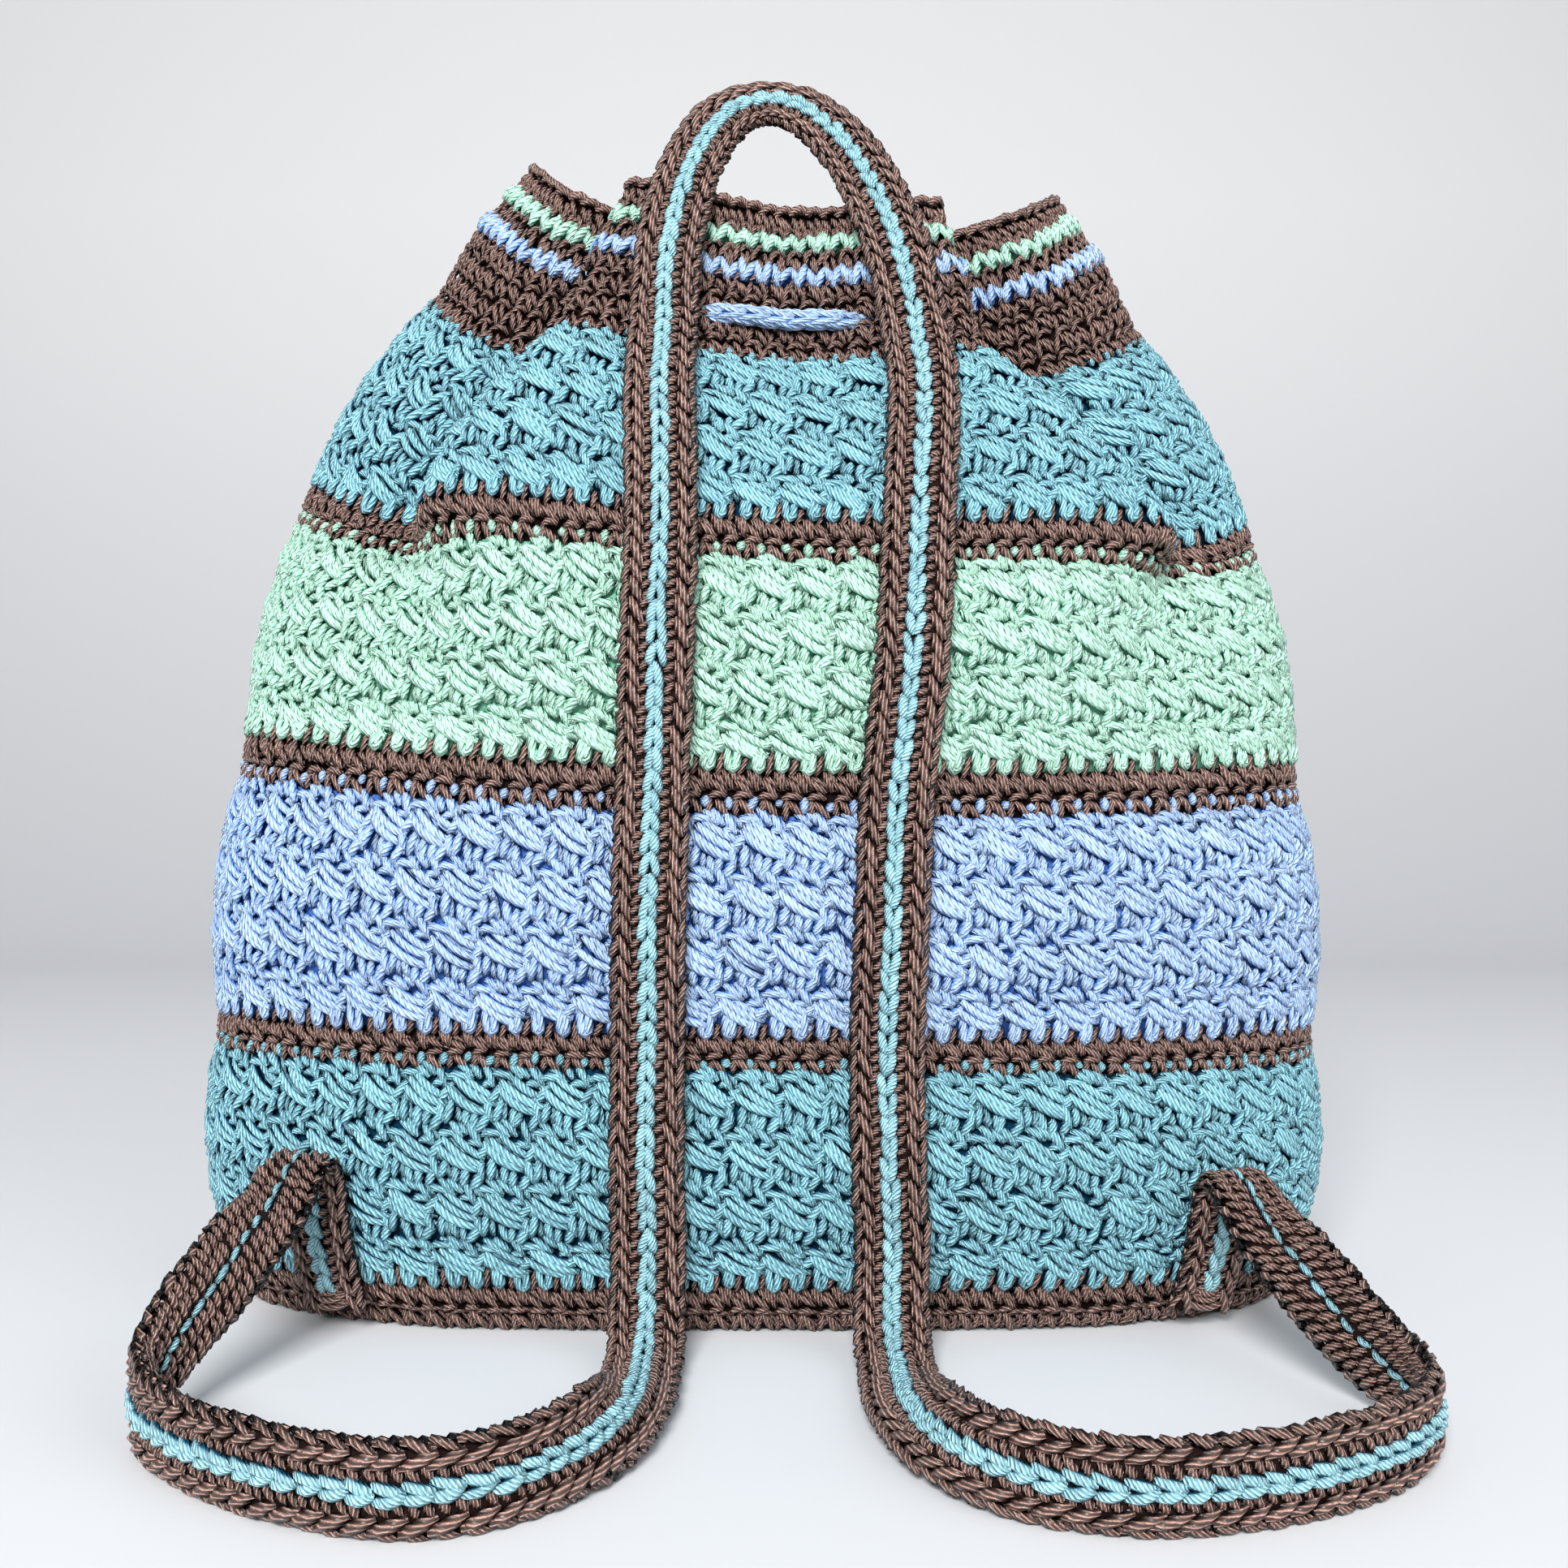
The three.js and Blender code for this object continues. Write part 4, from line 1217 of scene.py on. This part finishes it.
@dataclass
class StrapRoutes:
    """Routes of the two shoulder straps and of the handle, as the solids have them."""

    form: BagForm
    width: float = 17.0
    thickness: float = 5.0
    gap: float = 0.3
    stand_off: float = 5.0
    tab_levels: tuple[float, ...] = (0.6, 1.0, 1.25)
    fold: tuple[Pair, ...] = ((1.0, 3.4), (3.6, 5.6), (7.2, 5.2))
    rise: float = 67.0
    lean: float = 15.0
    slant: float = 9.0
    sway: float = -4.5
    pinch: float = 0.06
    curl: float = 0.22
    handle_start: float = 0.032
    handle_stations: int = 12

    def on_fabric(self, u: Array, v: Array) -> tuple[Array, Array]:
        """Stations on the wall: points a stand-off away from it, and level directions across."""
        out = self.form.outward(u, v)
        return self.form.fabric(u, v, self.stand_off), np.stack([-out[:, 1], out[:, 0], 0 * u], -1)

    def shoulder(self, tab: float, tab_top: float, loop: Array, shares: tuple[float, ...]) -> Strip:
        """Strap from its sewn tab over the fold, round its loop on the floor and up to the collar.

        Args:
            tab: Place of the tab as a share of the way round.
            tab_top: Level of the fold.
            loop: Places on the floor, heights above resting, and directions across.
            shares: Shares of the way round at the levels of the climb.

        Returns:
            The strip. A loop station's middle is half as high as its turned section is deep, plus its height.
        """
        levels = np.array([*self.tab_levels, tab_top])
        tabs, over = self.on_fabric(np.full(len(levels), tab), levels)
        out = self.form.outward(np.array([tab]), np.array([tab_top]))
        fold = tabs[-1] + np.array(self.fold) @ np.concatenate([out, [[0, 0, 1]]])
        across = unit(loop[:, 3:])
        turned = np.abs(across[:, 2])
        middle = self.gap + (self.width * turned + self.thickness * np.sqrt(1 - turned**2)) / 2
        laid = np.stack([loop[:, 0], loop[:, 1], middle + loop[:, 2]], -1)
        climb, level = self.on_fabric(np.array(shares), np.array(RUN_LEVELS))
        folded = np.repeat(over[-1:], len(fold), 0)
        return Strip(np.concatenate([tabs, fold, laid, climb]), np.concatenate([over, folded, across, level]))

    def handle(self, left: Strip, right: Strip) -> Strip:
        """Handle from tack to tack: nearly half an ellipse whose top leans back and to one side."""
        start, end = left.points[-1], right.points[-1]
        middle, reach = (start + end) / 2, (end - start) / 2
        angle = np.linspace(self.handle_start, np.pi - self.handle_start, self.handle_stations + 1)[:, None]
        lift = np.sin(angle)
        side = -np.cos(angle) * (1 - self.pinch * np.abs(np.sin(2 * angle)))
        back = self.lean * lift**2 + self.slant * lift
        spoke = side * reach + np.concatenate([self.sway * lift, back, self.rise * lift], -1)
        return Strip(middle + spoke, unit(spoke) * (self.curl * lift**2 - 1))


# Strap loops on the floor: places, heights above resting, and directions across
LEFT_LOOP = np.array(
    [
        (-114.3, -81.5, 30, 0.88, -0.34, -0.34),
        (-117.2, -89.5, 23.5, 0.77, -0.15, -0.6),
        (-120, -97.5, 17, 0.62, 0, -0.78),
        (-122.8, -105.5, 11.5, 0.45, 0, -0.89),
        (-125.3, -114.5, 6, 0.25, 0, -0.97),
        (-126, -124, 1.8, 0.08, 0, -1),
        (-122, -134, 0.3, 0, 0, -1),
        (-113, -144.5, 0, 0, 0, -1),
        (-99, -155, 0, 0, 0, -1),
        (-82, -163.8, 0, 0, 0, -1),
        (-64, -168.5, 0, 0, 0, -1),
        (-49.5, -165, 0, 0.1, 0, -1),
        (-37.5, -154, 0, 0.35, 0, -0.93),
        (-30, -138, 0, 0.65, 0, -0.76),
        (-27.5, -118, 0, 0.93, 0, -0.36),
        (-27, -99, 0, 1, 0, 0),
        (-27, -87, 1, 1, 0, 0),
        (-27.2, -78.5, 6.5, 1, 0, 0),
    ]
)
RIGHT_LOOP = np.array(
    [
        (117.2, -82, 25.5, 0.87, 0.32, 0.38),
        (121, -90.5, 18, 0.74, 0.12, 0.66),
        (125.3, -99, 10.5, 0.56, 0, 0.83),
        (130, -107.5, 4.2, 0.35, 0, 0.94),
        (133.6, -116.5, 0.8, 0.15, 0, 0.99),
        (134.2, -126.5, 0, 0.03, 0, 1),
        (129.5, -137.5, 0, 0, 0, 1),
        (119.5, -148.5, 0, 0, 0, 1),
        (105.5, -157.5, 0, 0, 0, 1),
        (88, -164.5, 0, 0, 0, 1),
        (70, -167.5, 0, 0, 0, 1),
        (54, -164.5, 0, 0.1, 0, 1),
        (41, -155.5, 0, 0.35, 0, 0.93),
        (33, -139.5, 0, 0.65, 0, 0.76),
        (30, -118.5, 0, 0.93, 0, 0.36),
        (30, -99, 0, 1, 0, 0),
        (30, -87, 1, 1, 0, 0),
        (30, -78.5, 6.5, 1, 0, 0),
    ]
)

# Climbs of the straps: levels of the wall, with the shares of the way round at them
RUN_LEVELS = (1.3, 1.6, 2.5, 3.5, 4.5, 5.5, 6.5, 7.2, 7.7, 8.2)
LEFT_SHARES = (-0.0352, -0.0354, -0.0354, -0.0364, -0.0352, -0.027, -0.0209, -0.0212, -0.027, -0.0314)
RIGHT_SHARES = (0.0392, 0.0377, 0.0367, 0.0382, 0.0379, 0.0303, 0.0233, 0.0236, 0.0315, 0.0374)


@dataclass
class Knot:
    """Knot on a free end: fat turns of the cord round a ball, over a short frayed tail.

    It is drawn up against its cord and out of the stitches behind it by a small step.
    """

    size: float = 9.0
    drawn: Triple = (0.0, 1.3, 1.1)
    turns: int = 4
    strands: int = 8
    arc: float = 1.05
    tilt: float = 0.45
    sunk: float = 1.5
    radius: float = 1.35
    tail_strands: int = 6
    tail_from: float = -2.6
    tail_to: float = -4.2
    tail_spread: Pair = (0.5, 0.35)
    tail_radius: float = 0.5
    tail_facing: Triple = (1.0, 0.2, 0.0)

    def tie(self, name: str, place: Array, seed: int) -> CrochetMesh:
        """Ties the knot: each turn is a circle tilted its own way, and the tail widens in a cone.

        Args:
            name: The piece's name.
            place: Middle of the knot.
            seed: Seed of its random numbers.

        Returns:
            The mesh.
        """
        mesh = CrochetMesh(name, seed)
        start = np.linspace(0, 2 * np.pi, self.strands + 1)[:-1]
        for heading in np.linspace(0, np.pi, self.turns + 1)[:-1]:
            axis = np.array([np.cos(heading), np.sin(heading), self.tilt])
            first = unit(np.cross(axis, [0, 0, 1]))
            second = np.cross(unit(axis), first)
            angle = start[:, None] + np.linspace(0, self.arc, Lie.OVER.rings)
            spoke = np.cos(angle)[..., None] * first + np.sin(angle)[..., None] * second
            mesh.tubes(place + spoke * (self.size / 2 - self.sunk), spoke, self.radius, Lie.OVER)
        fray = np.linspace(0, 2 * np.pi, self.tail_strands + 1)[:-1, None]
        down = np.linspace(self.tail_from, self.tail_to, Lie.LEG.rings)
        narrow, widening = self.tail_spread
        spread = narrow + widening * np.linspace(0, 1, Lie.LEG.rings)
        tail = np.stack(np.broadcast_arrays(spread * np.cos(fray), spread * np.sin(fray), down), -1)
        facing = np.broadcast_to(self.tail_facing, tail.shape)
        mesh.tubes(place + tail, facing, self.tail_radius, Lie.LEG)
        return mesh


@dataclass
class Drawstring:
    """Chain-stitch cord: the held run through four eyelets, and two free ends with knots on the far side."""

    form: BagForm
    knot: Knot = field(default_factory=Knot)
    diameter: float = 5.0
    gap: float = 0.3
    level: float = 8.45
    pitch: float = 6.2
    fewest: int = 3
    samples: int = 600
    path_step: int = 12
    strand_radius: float = 1.05
    strand_half: float = 0.7
    strand_turns: Pair = (0.45, 0.6)
    bulge: Triple = (1.7, 0.3, 2.2)
    end_clear: float = 0.5
    core_radius: float = 1.5
    core_corners: int = 8
    core_rings: int = 12
    core_trim: int = 2
    wall_places: tuple[Pair, ...] = (
        (0.0, 3.5),
        (0.01, 3.5),
        (0.0175, 0.9),
        (0.024, -3.6),
        (0.03, -7.4),
    )
    loose_places: tuple[Pair, ...] = ((29.5, -19), (30.5, -9), (30.5, 9), (29.5, 19))
    drop: tuple[Triple, ...] = (
        (0.0145, 8.4, 3.2),
        (0.0148, 8.28, 5.4),
        (0.0143, 8.05, 5.8),
        (0.0126, 7.75, 4.7),
        (0.0105, 7.4, 4.9),
        (0.0092, 7.0, 5.1),
        (0.0096, 6.5, 5.1),
        (0.0105, 6.0, 4.6),
        (0.0122, 5.6, 4.1),
        (0.0142, 5.2, 4.5),
        (0.0158, 4.8, 5.5),
        (0.0168, 4.3, 5.7),
    )

    def half(self, side: int) -> tuple[Array, Array, Array]:
        """Stations of one half of the held run: near wall, loose stretch inside, and far wall.

        Args:
            side: -1 for the half towards -X, 1 for the other.

        Returns:
            Points from the middle of the strap side in at an eyelet, past the folds, and out at the back.
        """
        share, out = np.array(self.wall_places).T
        level = np.full(len(share), self.level)
        near = self.form.fabric(side * share, level, out)
        far = self.form.fabric(0.5 - side * share, level, out)[:0:-1]
        x, y = np.array(self.loose_places).T
        loose = np.stack([near[0, 0] + side * x, y, np.full(len(x), near[-1, 2])], -1)
        return near, loose, far[:-1]

    def held(self) -> Array:
        """Stations of the whole held run, from one far eyelet to the other."""
        left, right = self.half(-1), self.half(1)
        return np.concatenate([np.concatenate([left[0][1:], *left[1:]])[::-1], *right])

    def end(self, side: int) -> Array:
        """Stations of one free end, from where the held run stops and down the far side."""
        share, level, out = np.array(self.drop).T
        hanging = self.form.fabric(0.5 - side * share, level, out)
        return np.concatenate([self.half(side)[2][-1:], hanging])

    def work(self, name: str, stations: Array, facing: Array, seed: int) -> tuple[CrochetMesh, Array]:
        """Works the cord along stations.

        The strands lie round the middle line in four quarters. Each goes forward while its angle falls from
        the first of strand_turns by the second times the way along, and its twin turns to the other side, so
        that they plait. Its distance is the first of bulge plus the second times the cosine of the way times
        the third.

        Args:
            name: The piece's name.
            stations: Points of the route.
            facing: A direction that the route never points in.
            seed: Seed of its random numbers.

        Returns:
            The mesh, and the points down the middle of the cord.
        """
        mesh = CrochetMesh(name, seed)
        path = open_curve(stations, np.linspace(0, 1, self.samples), CENTRIPETAL)
        run = lengths_along(path)
        along = unit(np.gradient(path, axis=0))
        side = unit(np.cross(along, facing))
        out = np.cross(side, along)
        count = max(self.fewest, round(run[-1] / self.pitch))
        pitch = run[-1] / count
        t = np.linspace(-self.strand_half, self.strand_half, Lie.LEG.rings)
        distance, swell, steepness = self.bulge
        reach = distance + swell * np.cos(t * steepness)
        aside, turning = self.strand_turns
        for quarter in range(4):
            place = np.arange(count)[:, None] + 0.5 * (1 + quarter % 2) + t
            s = np.clip(pitch * place, self.end_clear, run[-1] - self.end_clear)
            index = np.interp(s, run, np.arange(len(run))).astype(int)
            for turn in (-1, 1):
                angle = np.broadcast_to(np.pi / 2 * quarter + turn * (aside - turning * t), s.shape)
                spoke = np.cos(angle)[..., None] * out[index] + np.sin(angle)[..., None] * side[index]
                mesh.tubes(path[index] + spoke * reach[:, None], spoke, self.strand_radius, Lie.LEG)
        cosine, sine = circle(self.core_corners)
        rings = self.core_rings + 2 * count
        pick = np.linspace(self.core_trim, len(path) - 1 - self.core_trim, rings).astype(int)
        ring = cosine[:, None] * side[pick, None] + sine[:, None] * out[pick, None]
        mesh.core((path[pick, None] + self.core_radius * ring)[::-1])
        return mesh, path[:: self.path_step]

    def build(self) -> list[bpy.types.Object]:
        """Builds the held run, and both free ends with their knots."""
        upright, sideways = np.array([0.0, 0.0, 1.0]), np.array([1.0, 0.0, 0.0])
        mesh, _ = self.work("drawstring_crochet", self.held(), upright, seed=90)
        pieces = [mesh.build(Yarn.BLUE, "drawstring")]
        for name, side in (("left", -1), ("right", 1)):
            node, stations = f"drawstring_{name}", self.end(side)
            mesh, path = self.work(f"{node}_end_crochet", stations, sideways, seed=92 + side)
            end = mesh.build(Yarn.BLUE, f"{node}_end")
            middle = stations[-1] - [0, 0, self.knot.size / 2 + self.gap] + self.knot.drawn
            knot = self.knot.tie(f"{node}_knot_crochet", middle, seed=96 + side)
            tied = knot.build(Yarn.BLUE, f"{node}_knot")
            float(lengths_along(path)[-1] * MM)
            pieces += [end, tied]
        return pieces


@dataclass(frozen=True)
class Lamp:
    """Square soft light: place and size in metres, turn in degrees, power in watts."""

    name: str
    place: Triple
    turn: Triple
    size: float
    power: float

    def hang(self) -> bpy.types.Object:
        """Hangs the light in the scene."""
        light = bpy.data.lights.new(self.name, "AREA")
        light.size = self.size
        light.energy = self.power
        lamp = linked(self.name, light)
        lamp.location = self.place
        lamp.rotation_euler = np.radians(self.turn)
        return lamp


@dataclass
class Studio:
    """Pale floor that curves up into a backdrop, soft light, and the camera.

    Places are in metres, the lens and its sensor in millimetres.
    """

    camera_place: Triple = (0.0, -0.432, 0.125)
    lens: float = 34.66
    sensor: float = 36.0
    shift: Pair = (0.01346, 0.0254)
    # The backdrop is painted lighter than the floor: a painted light that makes up for the lamps lighting it
    # less
    floor_colour: Triple = (0.7, 0.71, 0.73)
    wall_colour: Triple = (0.92, 0.915, 0.915)
    roughness: float = 0.7
    half_width: float = 4.0
    floor_front: float = -3.0
    floor_back: float = 0.9
    bend: float = 0.8
    bend_steps: int = 16
    wall_top: float = 3.5
    lamps: tuple[Lamp, ...] = (
        Lamp("key_light", (-0.3, -1.66, 1.15), (61, 0, -10), 0.8, 52.0),
        Lamp("fill_light", (1.3, -1.0, 0.9), (58, 0, 52), 1.4, 9.0),
    )
    sky_colour: Triple = (0.93, 0.96, 1.0)
    sky_strength: float = 0.36

    def sweep(self) -> bpy.types.Object:
        """Floor and backdrop: a straight floor, a quarter circle, and a straight wall, carried sideways."""
        angle = np.linspace(0, np.pi / 2, self.bend_steps)[1:]
        wall = self.floor_back + self.bend
        curve = self.floor_back + self.bend * np.sin(angle)
        y = np.concatenate([[self.floor_front, self.floor_back], curve, [wall]])
        z = np.concatenate([[0.0, 0.0], self.bend - self.bend * np.cos(angle), [self.wall_top]])
        x = np.array([-self.half_width, self.half_width])
        points = np.stack(np.broadcast_arrays(x, y[:, None], z[:, None]), -1)
        i = np.arange(len(y) - 1)[:, None] * 2
        mesh = bpy.data.meshes.new("studio_sweep")
        mesh.from_pydata(points.reshape(-1, 3).tolist(), [], (i + [0, 1, 3, 2]).tolist())
        mesh.polygons.foreach_set("use_smooth", np.ones(len(i), bool))
        nodes = Nodes("studio_pale")
        place = nodes.add("ShaderNodeTexCoord").outputs["Object"]
        height = nodes.add("ShaderNodeSeparateXYZ", {0: place}).outputs[2]
        # Painted light: the colour grows lighter up the sweep, from the floor to the backdrop
        colour = nodes.blend(height, np.array(self.floor_colour), np.array(self.wall_colour))
        mesh.materials.append(nodes.finish({"Base Color": colour, "Roughness": self.roughness}))
        sweep = linked("studio_sweep", mesh)
        return sweep

    def sky(self) -> bpy.types.World:
        """Even light from all sides."""
        world = bpy.data.worlds.new("studio_world")
        world.use_nodes = True
        background = world.node_tree.nodes["Background"]
        background.inputs["Color"].default_value = (*self.sky_colour, 1)
        background.inputs["Strength"].default_value = self.sky_strength
        return world

    def camera(self) -> bpy.types.Object:
        """Level camera that looks along +Y at the strap side."""
        data = bpy.data.cameras.new("photo_camera")
        data.lens = self.lens
        data.sensor_width = self.sensor
        data.shift_x, data.shift_y = self.shift
        camera = linked("photo_camera", data)
        camera.location = self.camera_place
        camera.rotation_euler = (np.pi / 2, 0, 0)
        return camera

    def build(self) -> None:
        """Sets the stage, the light and the camera."""
        scene = bpy.context.scene
        scene.view_settings.view_transform = "Standard"
        self.sweep()
        for lamp in self.lamps:
            lamp.hang()
        scene.world = self.sky()
        scene.camera = self.camera()


# Width of a stitch in the gathered collar in mm, and the finer ground that its folds need
GATHERED_STITCH = 4.8
FOLDED_GROUND = {"columns": 180, "ground_rows": 8, "ground": -1.3}


def bands(form: BagForm) -> list[CrochetBand]:
    """The bag's bands.

    Args:
        form: The bag's wall.

    Returns:
        The bands. A brown stripe has two stitches for each leaf of the band above it, and the gathered collar
        keeps one stitch count up to the mouth.
    """
    gathered = round(form.girth(form.seams[BANDS.index("collar_blue_round")]) / GATHERED_STITCH)
    leaves = [
        LeafBand(form, "lower_teal_band", Yarn.TEAL),
        LeafBand(form, "blue_band", Yarn.BLUE),
        LeafBand(form, "mint_band", Yarn.MINT),
        LeafBand(
            form, "upper_teal_band", Yarn.TEAL, clear=3.4, beads=gathered, bead_height=5.0, **FOLDED_GROUND
        ),
    ]
    for leaf, above in zip(leaves, leaves[1:]):
        leaf.beads, leaf.bead_height = 2 * above.count, form.seams[above.level] - leaf.high
    base = BasePanel(form, "base_panel", Yarn.BROWN, stitches=2 * leaves[0].count)
    leaves[0].lift = base.reach
    stripes = [
        StripeBand(form, BANDS[above.level - 1], Yarn.BROWN, stitches=2 * above.count) for above in leaves[1:]
    ]
    coloured = {"stitches": gathered, "stitch": COLOURED, "ground": -2.4}
    collar = [
        RoundsBand(
            form,
            "collar",
            Yarn.BROWN,
            stitches=gathered,
            rounds=4,
            reach=leaves[-1].clear,
            over=1.2,
            **FOLDED_GROUND,
        ),
        RoundsBand(form, "collar_blue_round", Yarn.BLUE, **coloured),
        RoundsBand(form, "collar_brown_round", Yarn.BROWN, stitches=gathered, stitch=FILLED, over=1.0),
        RoundsBand(form, "collar_mint_round", Yarn.MINT, **coloured),
        RoundsBand(form, "mouth_edging", Yarn.BROWN, stitches=gathered, stitch=CHAINED),
    ]
    return [base, *leaves, *stripes, *collar]


def main() -> None:
    """Builds the studio and every piece of the bag."""
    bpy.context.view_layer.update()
    Studio().build()
    form = BagForm()
    pieces = Drawstring(form).build()
    pieces += [band.build() for band in bands(form)]
    routes = StrapRoutes(form)
    left = routes.shoulder(tab=-0.139, tab_top=1.5, loop=LEFT_LOOP, shares=LEFT_SHARES)
    right = routes.shoulder(tab=0.1425, tab_top=1.44, loop=RIGHT_LOOP, shares=RIGHT_SHARES)
    handle = routes.handle(left, right)
    straps = (
        CrochetStrap("left_shoulder_strap", left, seed=60, chain_start=6.0),
        CrochetStrap("right_shoulder_strap", right, seed=64, heading=-1, chain_start=6.0),
        CrochetStrap("carry_handle", handle, seed=68, ground_steps=60),
    )
    pieces += [piece for strap in straps for piece in strap.build()]
    triangles = sum(len(piece.data.loops) - 2 * len(piece.data.polygons) for piece in pieces)
    log.info("%d pieces, %d triangles", len(pieces), triangles)


if __name__ == "__main__":
    logging.basicConfig(level=logging.INFO, format="%(name)s %(message)s")
    main()
